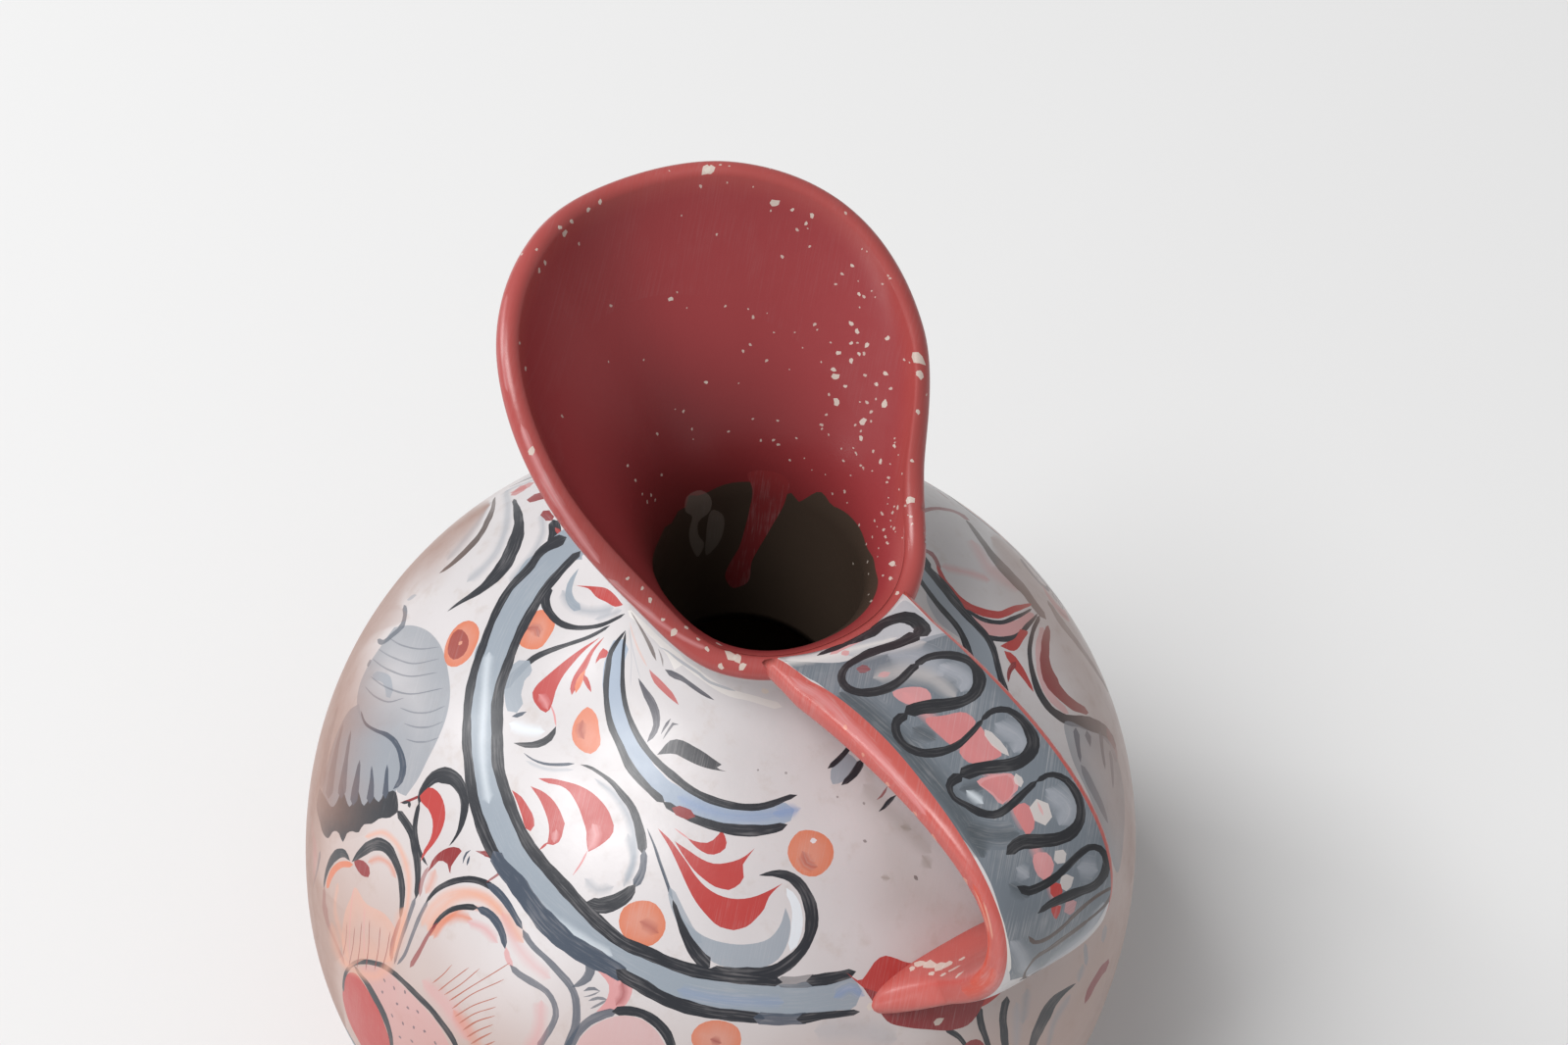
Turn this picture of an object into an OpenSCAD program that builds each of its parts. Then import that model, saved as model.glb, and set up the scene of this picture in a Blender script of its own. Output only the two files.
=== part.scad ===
// Round-bodied pottery pitcher: a thrown hollow body, a short neck that opens into a wide scoop
// spout, and a pulled strap handle. All of it is one piece of fired clay.
// Millimetres. The origin is the centre of the base, +Z is up and +X runs towards the spout.

/* [Body] */
// Widest diameter of the body
body_d = 210; // [190:5:230]
// Height of the widest level above the base
waist_h = 75; // [65:1:90]
// Rise from the widest level to where the round of the shoulder would close
shoulder_rise = 102; // [97:1:108]
// Fullness of the shoulder: 2 is an ellipse, more is squarer
shoulder_fullness = 2.33; // [2.1:0.01:2.6]
// Fullness of the lower half
belly_fullness = 1.9; // [1.8:0.01:2.2]
// Diameter of the flat base
base_d = 88; // [70:2:110]
// Thickness of the body's wall
wall = 6; // [5:0.5:8]
// Thickness of the floor
floor_t = 7; // [5:0.5:10]

/* [Neck] */
// Outer diameter of the neck at its narrowest
neck_d = 59.5; // [56:0.5:64]
// Height of the neck's narrowest level above the widest level of the body
neck_rise = 113; // [110:1:118]
// Diameter at which the sweep of the neck leaves the shoulder
neck_sweep_d = 108; // [96:2:120]

/* [Spout] */
// Outer diameter of the rim beside the handle
rim_d = 72; // [68:1:76]
// Height of the rim beside the handle
rim_h = 200; // [198:0.5:205]
// Reach of the spout's tip from the axis
lip_reach = 69; // [60:1:85]
// Height of the highest part of the lip
lip_h = 254; // [238:1:270]
// Drop of the tip below the highest part of the lip
lip_dip = 2; // [0:0.5:8]
// Thickness of the rounded lip
lip_t = 5.2; // [4.5:0.1:7]

/* [Handle] */
// Distance from the axis to the outermost point of the handle
handle_reach = 110; // [105:1:125]
// Height of the handle's outermost point
handle_shoulder_h = 186; // [178:1:194]
// Height at which the handle's outer face ends inside the body's wall
handle_foot_h = 129; // [124:1:136]
// Width of the strap where it leaves the rim
strap_w_top = 38; // [32:1:42]
// Width of the strap at its outermost point
strap_w_mid = 29; // [22:1:34]
// Width of the strap just above its foot
strap_w_low = 20; // [15:1:26]
// Thickness of the strap
strap_t = 7.5; // [6:0.5:9]
// Height of the strap's top edge above the rim
strap_rise = 2.5; // [2:0.5:4]
// Width of the foot, where the clay is smeared over the body
foot_w = 44; // [34:1:48]
// Thickness of the smeared foot
foot_t = 12; // [9:0.5:14]

/* [Hidden] */

// Facets round the axis, and steps along each curve
around = 72;
outline_steps = 20;
sweep_steps = 8;
spout_steps = 9;
cap_steps = 6;
strap_steps = 30;
strap_points = 20;

body_r = body_d / 2;
neck_r = neck_d / 2;
neck_h = waist_h + neck_rise;
rim_r = rim_d / 2;
sweep_r = neck_sweep_d / 2;

// The lower half's curve would close this far below the widest level, and the flat base cuts it
belly_drop = waist_h / pow(1 - pow(base_d / body_d, belly_fullness), 1 / belly_fullness);

// Rim, from the tip of the spout (azimuth 0) round to the handle (180). The shares say how far the
// radius and the height have gone from the round rim by the handle towards the lip.
rim_azimuths = [0, 25, 50, 75, 100, 130, 180];
reach_shares = [1, 0.89, 0.74, 0.47, 0.1, 0.03, 0];
rise_shares = [1, 1, 0.88, 0.59, 0.2, 0, 0];
rim_radii = [for (share = reach_shares) mix(rim_r, lip_reach, share)];
rim_heights = [
  for (i = [0 : len(rise_shares) - 1]) mix(rim_h, lip_h, rise_shares[i]) - (i == 0 ? lip_dip : 0)
];
// How far the spout's wall bowls outwards below the lip: 0.6 runs straight up to it
spout_bowl = 0.72;
// Where the two bends of the spout's wall lie, as shares of its height
spout_bends = [0.4, 0.6];
// How tightly the neck's sweep turns off the shoulder
sweep_pull = 0.6;
// The spout's clay laps over the top of the neck by this much, inside and outside
seam_lap = 0.1;

// How far the strap's curve runs straight on at the rim, over its shoulder and into its foot
rim_pull = [24, 9];
shoulder_pull_up = 37;
shoulder_pull_down = 19;
foot_pull = [8, 14];
// Depth of the foot under the body's skin: the part that reaches the hollow is trimmed away
root_depth = wall + 5;
// Squareness of the strap's section: 2 is an ellipse
strap_squareness = 4.5;
// Squareness of the smeared foot
foot_squareness = 2.1;
// Shares of the strap's length, before its end, at which the foot begins and ends to spread
spread_start = 0.22;
spread_end = 0.08;

function mix(a, b, share) = a + (b - a) * share;
function ease(x) = let (u = min(1, max(0, x))) u * u * (3 - 2 * u);
function unit(v) = v / norm(v);
function signed_pow(x, n) = sign(x) * pow(abs(x), n);

function bezier(p, t) =
  pow(1 - t, 3) * p[0] + 3 * pow(1 - t, 2) * t * p[1] + 3 * (1 - t) * t * t * p[2] + pow(t, 3) * p[3];
function bezier_direction(p, t) =
  unit(pow(1 - t, 2) * (p[1] - p[0]) + 2 * (1 - t) * t * (p[2] - p[1]) + t * t * (p[3] - p[2]));

// Quarter superellipse: radius and rise at an angle, 0 at the widest level and 90 on the axis
function arc_point(r, h, n, angle) = [r * pow(cos(angle), 2 / n), h * pow(sin(angle), 2 / n)];
function angle_at_radius(share, n) = acos(pow(share, n / 2));
function angle_at_rise(share, n) = asin(pow(share, n / 2));
function arc_radius(r, h, n, rise) = r * pow(1 - pow(rise / h, n), 1 / n);

// Half outline of the body at a depth under its skin, from the bottom up to the neck
function belly_outline(depth, bottom) =
  let (
    drop = belly_drop - depth,
    last = angle_at_rise((waist_h - bottom) / drop, belly_fullness)
  )
  [
    for (i = [outline_steps : -1 : 1])
      let (p = arc_point(body_r - depth, drop, belly_fullness, last * i / outline_steps))
      [p.x, waist_h - p.y]
  ];
function shoulder_outline(depth) =
  let (last = angle_at_radius((sweep_r - depth) / (body_r - depth), shoulder_fullness))
  [
    for (i = [0 : outline_steps])
      [0, waist_h]
      + arc_point(body_r - depth, shoulder_rise - depth, shoulder_fullness, last * i / outline_steps)
  ];
function neck_outline(depth) =
  let (
    shoulder = shoulder_outline(depth),
    start = shoulder[outline_steps],
    slope = unit(start - shoulder[outline_steps - 1]),
    run = (start.x - (neck_r - depth)) / -slope.x,
    end = [neck_r - depth, neck_h],
    corner_h = start.y + run * slope.y,
    curve = [start, start + sweep_pull * run * slope, end - [0, sweep_pull * (neck_h - corner_h)], end]
  )
  [for (i = [1 : sweep_steps]) bezier(curve, i / sweep_steps)];
function body_outline(depth, bottom) =
  concat(belly_outline(depth, bottom), shoulder_outline(depth), neck_outline(depth));

// Smooth curve through the values at the rim's stations, level at the tip and at the handle
function station_slope(values, i) =
  i == 0 || i == len(values) - 1
    ? 0
    : (values[i + 1] - values[i - 1]) / (rim_azimuths[i + 1] - rim_azimuths[i - 1]);
function station_below(azimuth, i = 0) =
  i == len(rim_azimuths) - 2 || azimuth < rim_azimuths[i + 1] ? i : station_below(azimuth, i + 1);
function rim_value(values, azimuth) =
  let (
    a = azimuth > 180 ? 360 - azimuth : azimuth,
    i = station_below(a),
    gap = rim_azimuths[i + 1] - rim_azimuths[i],
    u = (a - rim_azimuths[i]) / gap
  )
  mix(values[i], values[i + 1], ease(u))
  + gap * u * (1 - u) * ((1 - u) * station_slope(values, i) - u * station_slope(values, i + 1));

// Curve of the outer wall from the neck up to the rounding of the lip, at an azimuth
function spout_curve(azimuth) =
  let (
    foot = [neck_r + seam_lap, neck_h],
    top = [rim_value(rim_radii, azimuth), rim_value(rim_heights, azimuth)],
    span = top - foot,
    bend = foot + [spout_bowl * span.x, spout_bends[1] * span.y],
    end = top - lip_t / 2 * unit(top - bend)
  )
  [foot, foot + [0, spout_bends[0] * span.y], bend, end];
// Closed section of the wall: up the outside, over the round lip and down the inside
function spout_section(azimuth) =
  let (
    curve = spout_curve(azimuth),
    along = bezier_direction(curve, 1),
    across = [along.y, -along.x],
    middle = curve[3] - lip_t / 2 * across
  )
  concat(
    [for (i = [0 : spout_steps]) bezier(curve, i / spout_steps)],
    [
      for (i = [1 : cap_steps - 1])
        let (turn = 180 * i / cap_steps)
        middle + lip_t / 2 * (cos(turn) * across + sin(turn) * along)
    ],
    [
      for (i = [spout_steps : -1 : 0])
        let (t = i / spout_steps, d = bezier_direction(curve, t))
        bezier(curve, t) - mix(wall + 2 * seam_lap, lip_t, t) * [d.y, -d.x]
    ]
  );

// Outer face of the strap in the plane of the handle: distance behind the axis, and height
strap_top_r = rim_r - lip_t / 2;
foot_r = arc_radius(body_r, shoulder_rise, shoulder_fullness, handle_foot_h - waist_h) - root_depth;
strap_start = [strap_top_r, rim_h + strap_rise];
strap_shoulder = [handle_reach, handle_shoulder_h];
strap_foot = [foot_r, handle_foot_h];
strap_over = [
  strap_start, strap_start + rim_pull, strap_shoulder + [0, shoulder_pull_up], strap_shoulder
];
strap_down = [
  strap_shoulder, strap_shoulder - [0, shoulder_pull_down], strap_foot + foot_pull, strap_foot
];
function strap_point(t) = t < 0.5 ? bezier(strap_over, 2 * t) : bezier(strap_down, 2 * t - 1);
function strap_direction(t) =
  t < 0.5 ? bezier_direction(strap_over, 2 * t) : bezier_direction(strap_down, 2 * t - 1);
function foot_spread(t) = ease((t - 1 + spread_start) / (spread_start - spread_end));
function strap_width(t) =
  t < 0.5 ? mix(strap_w_top, strap_w_mid, 2 * t) : mix(strap_w_mid, strap_w_low, 2 * t - 1);
// Section of the strap at a share of its length. The first one is bent round the rim's wall.
function strap_section(t) =
  let (
    face = strap_point(t),
    d = strap_direction(t),
    inward = [d.y, -d.x],
    spread = foot_spread(t),
    half_w = mix(strap_width(t), foot_w, spread) / 2,
    half_t = mix(strap_t, foot_t, spread) / 2,
    corner = 2 / mix(strap_squareness, foot_squareness, spread)
  )
  [
    for (i = [0 : strap_points - 1])
      let (
        turn = 360 * i / strap_points,
        y = half_w * signed_pow(cos(turn), corner),
        depth = half_t * (1 - signed_pow(sin(turn), corner)),
        p = face + depth * inward
      )
      t == 0 ? [-sqrt(strap_top_r * strap_top_r - y * y), y, p.y] : [-p.x, y, p.y]
  ];

// Skin over rings of points, each as [x, y, z]: rings that close on themselves, or two flat ends
module skin(rings, looped) {
  sections = len(rings);
  points = len(rings[0]);
  bands = looped ? sections : sections - 1;
  sides = [
    for (i = [0 : bands - 1], j = [0 : points - 1])
      let (a = i * points, b = ((i + 1) % sections) * points, k = (j + 1) % points)
      each [[a + j, b + k, b + j], [a + j, a + k, b + k]]
  ];
  ends = looped ? [] : [
    [for (j = [points - 1 : -1 : 0]) j],
    [for (j = [0 : points - 1]) (sections - 1) * points + j]
  ];
  polyhedron([for (ring = rings) each ring], concat(sides, ends));
}

module body_solid() {
  rotate_extrude($fn = around)
    polygon(concat([[0, 0]], body_outline(0, 0), [[0, neck_h]]));
}

module cavity() {
  rotate_extrude($fn = around)
    polygon(concat([[0, floor_t]], body_outline(wall, floor_t), [[0, neck_h]]));
}

module scoop_spout() {
  skin(
    [
      for (i = [0 : around - 1])
        let (azimuth = 360 * i / around)
        [for (p = spout_section(azimuth)) [p.x * cos(azimuth), p.x * sin(azimuth), p.y]]
    ],
    looped = true
  );
}

module strap_handle() {
  skin([for (i = [0 : strap_steps]) strap_section(i / strap_steps)], looped = false);
}

module pitcher() {
  difference() {
    union() {
      color("linen") body_solid();
      color("slategray") strap_handle();
    }
    color("tan") cavity();
  }
  color("indianred") scoop_spout();
}

pitcher();
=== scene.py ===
"""Round-bodied pottery pitcher, painted with flowing slip ornament, on a pale floor.

The clay follows the same sizes as the CAD part, on a finer mesh, but the throat's wall runs straight
down to THROAT_END_H before the hollow opens. The ornament is laid out as brush strokes and filled
shapes on flat charts of the skin, and is cut into the mesh by a triangulation, so each stroke keeps a
clean edge. Strokes that the photograph shows are given in its pixels, read off it, and carried on
to the clay through the camera. Strokes on hidden sides are given on the clay itself.
Millimetres throughout, turned to metres only when a mesh or the camera is made.
"""

from math import cos, pi, radians, sin, tau

import bpy
import numpy as np
from mathutils import Matrix, Vector, geometry
from mathutils.bvhtree import BVHTree


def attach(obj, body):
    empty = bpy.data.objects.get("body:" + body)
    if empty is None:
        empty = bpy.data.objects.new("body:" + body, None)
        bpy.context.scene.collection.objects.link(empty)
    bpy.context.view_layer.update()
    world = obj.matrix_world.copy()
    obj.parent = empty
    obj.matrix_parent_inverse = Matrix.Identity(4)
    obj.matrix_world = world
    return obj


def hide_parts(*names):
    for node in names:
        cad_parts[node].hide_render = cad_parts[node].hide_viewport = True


MM = 0.001

# camera
PICTURE = np.array([1599.0, 1066.0])
FOCAL_PX = 2600.0
SENSOR_MM = 36.0
CAMERA_AT = np.array([-276.30, 233.40, 631.41])
CAMERA_LOOK = np.array([0.491277, -0.424323, -0.760693])
CAMERA_ROLL = 0.1462994


def unit(v):
    return v / np.linalg.norm(v, axis=-1, keepdims=True)


def camera_axes():
    """Right, up and look directions of the camera, with its roll."""
    look = unit(CAMERA_LOOK)
    level = unit(np.array([look[1], -look[0], 0.0]))
    rise = np.cross(level, look)
    right = level * cos(CAMERA_ROLL) + rise * sin(CAMERA_ROLL)
    up = rise * cos(CAMERA_ROLL) - level * sin(CAMERA_ROLL)
    return right, up, look


RIGHT, UP, LOOK = camera_axes()


def add_camera():
    data = bpy.data.cameras.new("camera")
    data.sensor_width = SENSOR_MM
    data.lens = FOCAL_PX * SENSOR_MM / PICTURE[0]
    data.clip_start, data.clip_end = 0.01, 20
    camera = bpy.data.objects.new("camera", data)
    bpy.context.scene.collection.objects.link(camera)
    columns = (RIGHT, UP, -LOOK, CAMERA_AT * MM)
    camera.matrix_world = Matrix([[c[i] for c in columns] for i in range(3)] + [[0, 0, 0, 1]])
    bpy.context.scene.camera = camera


add_camera()
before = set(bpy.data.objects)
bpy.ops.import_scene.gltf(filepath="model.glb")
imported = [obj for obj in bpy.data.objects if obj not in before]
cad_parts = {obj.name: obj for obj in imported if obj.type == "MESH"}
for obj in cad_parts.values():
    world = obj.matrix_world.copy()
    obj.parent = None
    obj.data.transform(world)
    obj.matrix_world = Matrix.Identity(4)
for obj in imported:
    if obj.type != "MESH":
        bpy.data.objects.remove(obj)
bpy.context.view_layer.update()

# sizes of the clay, as in the CAD part
BODY_R, WAIST_H, SHOULDER_RISE, SHOULDER_FULL = 105.0, 75.0, 102.0, 2.33
BELLY_FULL, BASE_R, WALL, FLOOR_T, THROAT_END_H = 1.9, 44.0, 6.0, 7.0, 142.0
NECK_R, NECK_H, SWEEP_R, SWEEP_PULL = 29.75, 188.0, 54.0, 0.6
RIM_R, RIM_H, LIP_REACH, LIP_H, LIP_DIP, LIP_T = 36.0, 200.0, 69.0, 254.0, 2.0, 5.2
RIM_AZIMUTHS = np.radians([0, 25, 50, 75, 100, 130, 180])
REACH_SHARES = np.array([1, 0.89, 0.74, 0.47, 0.1, 0.03, 0])
RISE_SHARES = np.array([1, 1, 0.88, 0.59, 0.2, 0, 0])
SPOUT_BOWL, SPOUT_BENDS = 0.72, (0.4, 0.6)
STRAP_T, FOOT_W, FOOT_T = 7.5, 44.0, 12.0
STRAP_WIDTHS = (38.0, 29.0, 20.0)
HANDLE_REACH, HANDLE_SHOULDER_H, HANDLE_FOOT_H, STRAP_RISE = 110.0, 186.0, 129.0, 2.5
RIM_PULL, SHOULDER_PULLS, FOOT_PULL = (24.0, 9.0), (37.0, 19.0), (8.0, 14.0)
ROOT_DEPTH, SQUARENESS, FOOT_SQUARENESS = WALL + 5, 4.5, 2.1
SPREAD_START, SPREAD_END = 0.22, 0.08
# how finely the outlines are stepped: arcs of the body, the neck's sweep, the throat's straight wall
ARC_STEPS, SWEEP_STEPS, TUBE_STEPS = 160, 80, 40


def mix(a, b, share):
    return a + (b - a) * share


def ease(x):
    x = np.clip(x, 0, 1)
    return x * x * (3 - 2 * x)


def bezier(p, t):
    """Points and directions of a cubic whose four control points are arrays that end in the axes."""
    t = np.asarray(t)[..., None]
    at = (1 - t) ** 3 * p[0] + 3 * (1 - t) ** 2 * t * p[1] + 3 * (1 - t) * t * t * p[2] + t**3 * p[3]
    way = (1 - t) ** 2 * (p[1] - p[0]) + 2 * (1 - t) * t * (p[2] - p[1]) + t * t * (p[3] - p[2])
    return at, unit(way)


# the pot's outline
def shoulder_radius(height):
    share = np.clip((height - WAIST_H) / SHOULDER_RISE, 0, 1)
    return BODY_R * (1 - share**SHOULDER_FULL) ** (1 / SHOULDER_FULL)


def body_outline(depth):
    """Radius and height from the top of the neck down to the bottom, at a depth under the skin."""
    top, r = SHOULDER_RISE - depth, BODY_R - depth
    drop = WAIST_H / (1 - (BASE_R / BODY_R) ** BELLY_FULL) ** (1 / BELLY_FULL) - depth
    floor = FLOOR_T if depth else 0.0
    last = np.arccos(((SWEEP_R - depth) / r) ** (SHOULDER_FULL / 2))
    angles = np.linspace(last, 0, ARC_STEPS)
    upper = np.stack([r * np.cos(angles) ** (2 / SHOULDER_FULL),
                      WAIST_H + top * np.sin(angles) ** (2 / SHOULDER_FULL)], -1)
    start, way = upper[0], unit(upper[0] - upper[1])
    run = (start[0] - (NECK_R - depth)) / -way[0]
    end = np.array([NECK_R - depth, NECK_H])
    corner_h = start[1] + run * way[1]
    sweep = [start, start + SWEEP_PULL * run * way,
             end - np.array([0, SWEEP_PULL * (NECK_H - corner_h)]), end]
    neck = bezier(sweep, np.linspace(1, 0, SWEEP_STEPS)[:-1])[0]
    if depth:
        upper = upper[upper[:, 1] < THROAT_END_H]
        heights = np.linspace(NECK_H, THROAT_END_H, TUBE_STEPS)
        neck = np.stack([np.full(TUBE_STEPS, NECK_R - depth), heights], -1)
    down = np.arcsin(((WAIST_H - floor) / drop) ** (BELLY_FULL / 2))
    angles = np.linspace(0, down, ARC_STEPS)[1:]
    lower = np.stack([r * np.cos(angles) ** (2 / BELLY_FULL),
                      WAIST_H - drop * np.sin(angles) ** (2 / BELLY_FULL)], -1)
    return np.concatenate([neck, upper, lower])


def lengths(points):
    """Distance run along a row of points, from its first."""
    return np.concatenate([[0], np.cumsum(np.linalg.norm(np.diff(points, axis=0), axis=1))])


OUTLINE, INSIDE = body_outline(0), body_outline(WALL)
OUTLINE_RUN, INSIDE_RUN = lengths(OUTLINE), lengths(INSIDE)
SPOUT_RUN = 60.0
LIP_RUN = pi * LIP_T / 2
THROAT_RUN = NECK_H - THROAT_END_H
# The skin's second coordinate, "run": 0 at the top of the neck, positive down the outside. Negative
# runs go up the spout's outside, over the lip and down the inside into the throat.
RUN_LIP = -SPOUT_RUN
RUN_INSIDE = RUN_LIP - LIP_RUN
RUN_NECK_INSIDE = RUN_INSIDE - SPOUT_RUN
RUN_CREST = (RUN_LIP + RUN_INSIDE) / 2
RUN_END = RUN_NECK_INSIDE - THROAT_RUN
RUN_BASE = OUTLINE_RUN[-1]
RUN_WAIST = float(np.interp(-WAIST_H, -OUTLINE[:, 1], OUTLINE_RUN))


def rim_value(values, azimuth):
    """Smooth curve through the values at the rim's stations, level at the tip and at the handle."""
    a = np.abs((azimuth + pi) % tau - pi)
    i = np.clip(np.searchsorted(RIM_AZIMUTHS, a, side="right") - 1, 0, len(values) - 2)
    slope = np.zeros(len(values))
    slope[1:-1] = (values[2:] - values[:-2]) / (RIM_AZIMUTHS[2:] - RIM_AZIMUTHS[:-2])
    gap = RIM_AZIMUTHS[i + 1] - RIM_AZIMUTHS[i]
    u = (a - RIM_AZIMUTHS[i]) / gap
    bulge = gap * u * (1 - u) * ((1 - u) * slope[i] - u * slope[i + 1])
    return mix(values[i], values[i + 1], ease(u)) + bulge


RIM_RADII = mix(RIM_R, LIP_REACH, REACH_SHARES)
RIM_HEIGHTS = mix(RIM_H, LIP_H, RISE_SHARES) - LIP_DIP * (RIM_AZIMUTHS == 0)


def spout_place(azimuth, run):
    """Radius and height on the spout for runs from 0 to RUN_NECK_INSIDE."""
    foot = np.broadcast_to(np.array([NECK_R, NECK_H]), azimuth.shape + (2,))
    top = np.stack([rim_value(RIM_RADII, azimuth), rim_value(RIM_HEIGHTS, azimuth)], -1)
    span = top - foot
    bend = foot + span * [SPOUT_BOWL, SPOUT_BENDS[1]]
    end = top - LIP_T / 2 * unit(top - bend)
    curve = [foot, foot + span * [0, SPOUT_BENDS[0]], bend, end]
    inside = run < RUN_CREST
    t = np.clip(np.where(inside, (run - RUN_NECK_INSIDE) / SPOUT_RUN, -run / SPOUT_RUN), 0, 1)
    at, way = bezier(curve, t)
    across = np.stack([way[..., 1], -way[..., 0]], -1)
    turn = np.clip((RUN_LIP - run) / LIP_RUN, 0, 1)[..., None] * pi
    lip = end - LIP_T / 2 * across + LIP_T / 2 * (np.cos(turn) * across + np.sin(turn) * way)
    inner = at - mix(WALL, LIP_T, t)[..., None] * across
    on_lip = (run < RUN_LIP) & (run > RUN_INSIDE)
    return np.where(on_lip[..., None], lip, np.where(inside[..., None], inner, at))


def pot_place(azimuth, run):
    """Points of the pot's skin at azimuths and runs."""
    azimuth, run = np.broadcast_arrays(np.asarray(azimuth, float), np.asarray(run, float))
    outer = [np.interp(run, OUTLINE_RUN, OUTLINE[:, k]) for k in (0, 1)]
    deep = [np.interp(RUN_NECK_INSIDE - run, INSIDE_RUN, INSIDE[:, k]) for k in (0, 1)]
    spout = spout_place(azimuth, run)
    flat = [np.where(run >= 0, outer[k], np.where(run < RUN_NECK_INSIDE, deep[k], spout[..., k]))
            for k in (0, 1)]
    return np.stack([flat[0] * np.cos(azimuth), flat[0] * np.sin(azimuth), flat[1]], -1)


# the strap handle
SECTION_POINTS, SECTION_STEPS, SECTION_HALF_W = 512, 8001, 15


def superellipse(n):
    """Evenly spaced points of a superellipse as wide as the strap's section, from its underside."""
    turn = np.linspace(-pi / 2, 1.5 * pi, SECTION_STEPS)
    c, s = np.cos(turn), np.sin(turn)
    x, y = np.sign(c) * np.abs(c) ** (2 / n), np.sign(s) * np.abs(s) ** (2 / n)
    run = lengths(np.stack([x * SECTION_HALF_W, y * STRAP_T / 2], -1))
    even = np.linspace(0, run[-1], SECTION_POINTS)
    return np.interp(even, run, x), np.interp(even, run, y)


SECTION, FOOT_SECTION = superellipse(SQUARENESS), superellipse(FOOT_SQUARENESS)
STRAP_GIRTH, STRAP_LENGTH, CAP_RUN, BENT_RUN = 72.0, 200.0, 5.0, 6.7
STRAP_TOP_R = RIM_R - LIP_T / 2
FOOT_POINT = np.array([shoulder_radius(HANDLE_FOOT_H) - ROOT_DEPTH, HANDLE_FOOT_H])
STRAP_START = np.array([STRAP_TOP_R, RIM_H + STRAP_RISE])
STRAP_SHOULDER = np.array([HANDLE_REACH, HANDLE_SHOULDER_H])
STRAP_OVER = [STRAP_START, STRAP_START + RIM_PULL,
              STRAP_SHOULDER + [0, SHOULDER_PULLS[0]], STRAP_SHOULDER]
STRAP_DOWN = [STRAP_SHOULDER, STRAP_SHOULDER - [0, SHOULDER_PULLS[1]],
              FOOT_POINT + FOOT_PULL, FOOT_POINT]


def strap_place(girth, run):
    """Points of the strap: girth from 0 to STRAP_GIRTH round its section, starting in the middle of
    the underside, and run from 0 at the rim to STRAP_LENGTH at the foot. A short negative run closes
    its end on the rim."""
    girth, run = np.broadcast_arrays(np.asarray(girth, float), np.asarray(run, float))
    t = np.clip(run / STRAP_LENGTH, 0, 1)
    over, over_way = bezier(STRAP_OVER, np.minimum(2 * t, 1))
    down, down_way = bezier(STRAP_DOWN, np.maximum(2 * t - 1, 0))
    first = (t < 0.5)[..., None]
    face, way = np.where(first, over, down), np.where(first, over_way, down_way)
    spread = ease((t - 1 + SPREAD_START) / (SPREAD_START - SPREAD_END))
    half_w = mix(np.interp(t, [0, 0.5, 1], STRAP_WIDTHS), FOOT_W, spread) / 2
    half_t = mix(STRAP_T, FOOT_T, spread) / 2
    stops = np.linspace(0, 1, len(SECTION[0]))
    share = np.clip(girth / STRAP_GIRTH, 0, 1)
    x, y = [mix(np.interp(share, stops, SECTION[k]), np.interp(share, stops, FOOT_SECTION[k]), spread)
            for k in (0, 1)]
    close = np.clip(1 + run / CAP_RUN, 0, 1)
    side = half_w * x * close
    depth = half_t * (1 - y * close)
    back, height = face[..., 0] + depth * way[..., 1], face[..., 1] - depth * way[..., 0]
    bent = np.sqrt(STRAP_TOP_R**2 - np.minimum(np.abs(side), STRAP_TOP_R - 1) ** 2)
    back = mix(back, bent, np.clip(1 - run / BENT_RUN, 0, 1))
    return np.stack([-back, side, height], -1)


# charts: the skin laid flat
CHART_STEPS = 2400
MISS_TRIES, MISS_STEP = 200, 2  # a pixel that misses the clay is moved in by this many steps at most
SETTLE_ROUNDS = 4  # rounds that move a found place on to the exact hit


def chart_radius(run):
    """Radius of a run on the pot's round chart. It keeps shapes true, so strokes stay evenly cut."""
    return np.exp(np.interp(run, CHART_RUNS, CHART_LOGS))


def chart_table():
    runs = np.linspace(RUN_END, RUN_BASE, CHART_STEPS)
    place = pot_place(np.full_like(runs, radians(90)), runs)
    r = np.hypot(place[:, 0], place[:, 1])
    steps = np.diff(runs) / ((r[1:] + r[:-1]) / 2)
    return runs, np.concatenate([[0], np.cumsum(steps)])


CHART_RUNS, CHART_LOGS = chart_table()


def pot_chart(p):
    r = chart_radius(p[:, 1])
    return np.stack([r * np.cos(p[:, 0]), r * np.sin(p[:, 0])], -1)


def pot_unchart(xy):
    log_r = np.log(np.maximum(np.hypot(xy[:, 0], xy[:, 1]), 1e-9))
    return np.stack([np.arctan2(xy[:, 1], xy[:, 0]), np.interp(log_r, CHART_LOGS, CHART_RUNS)], -1)


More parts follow.
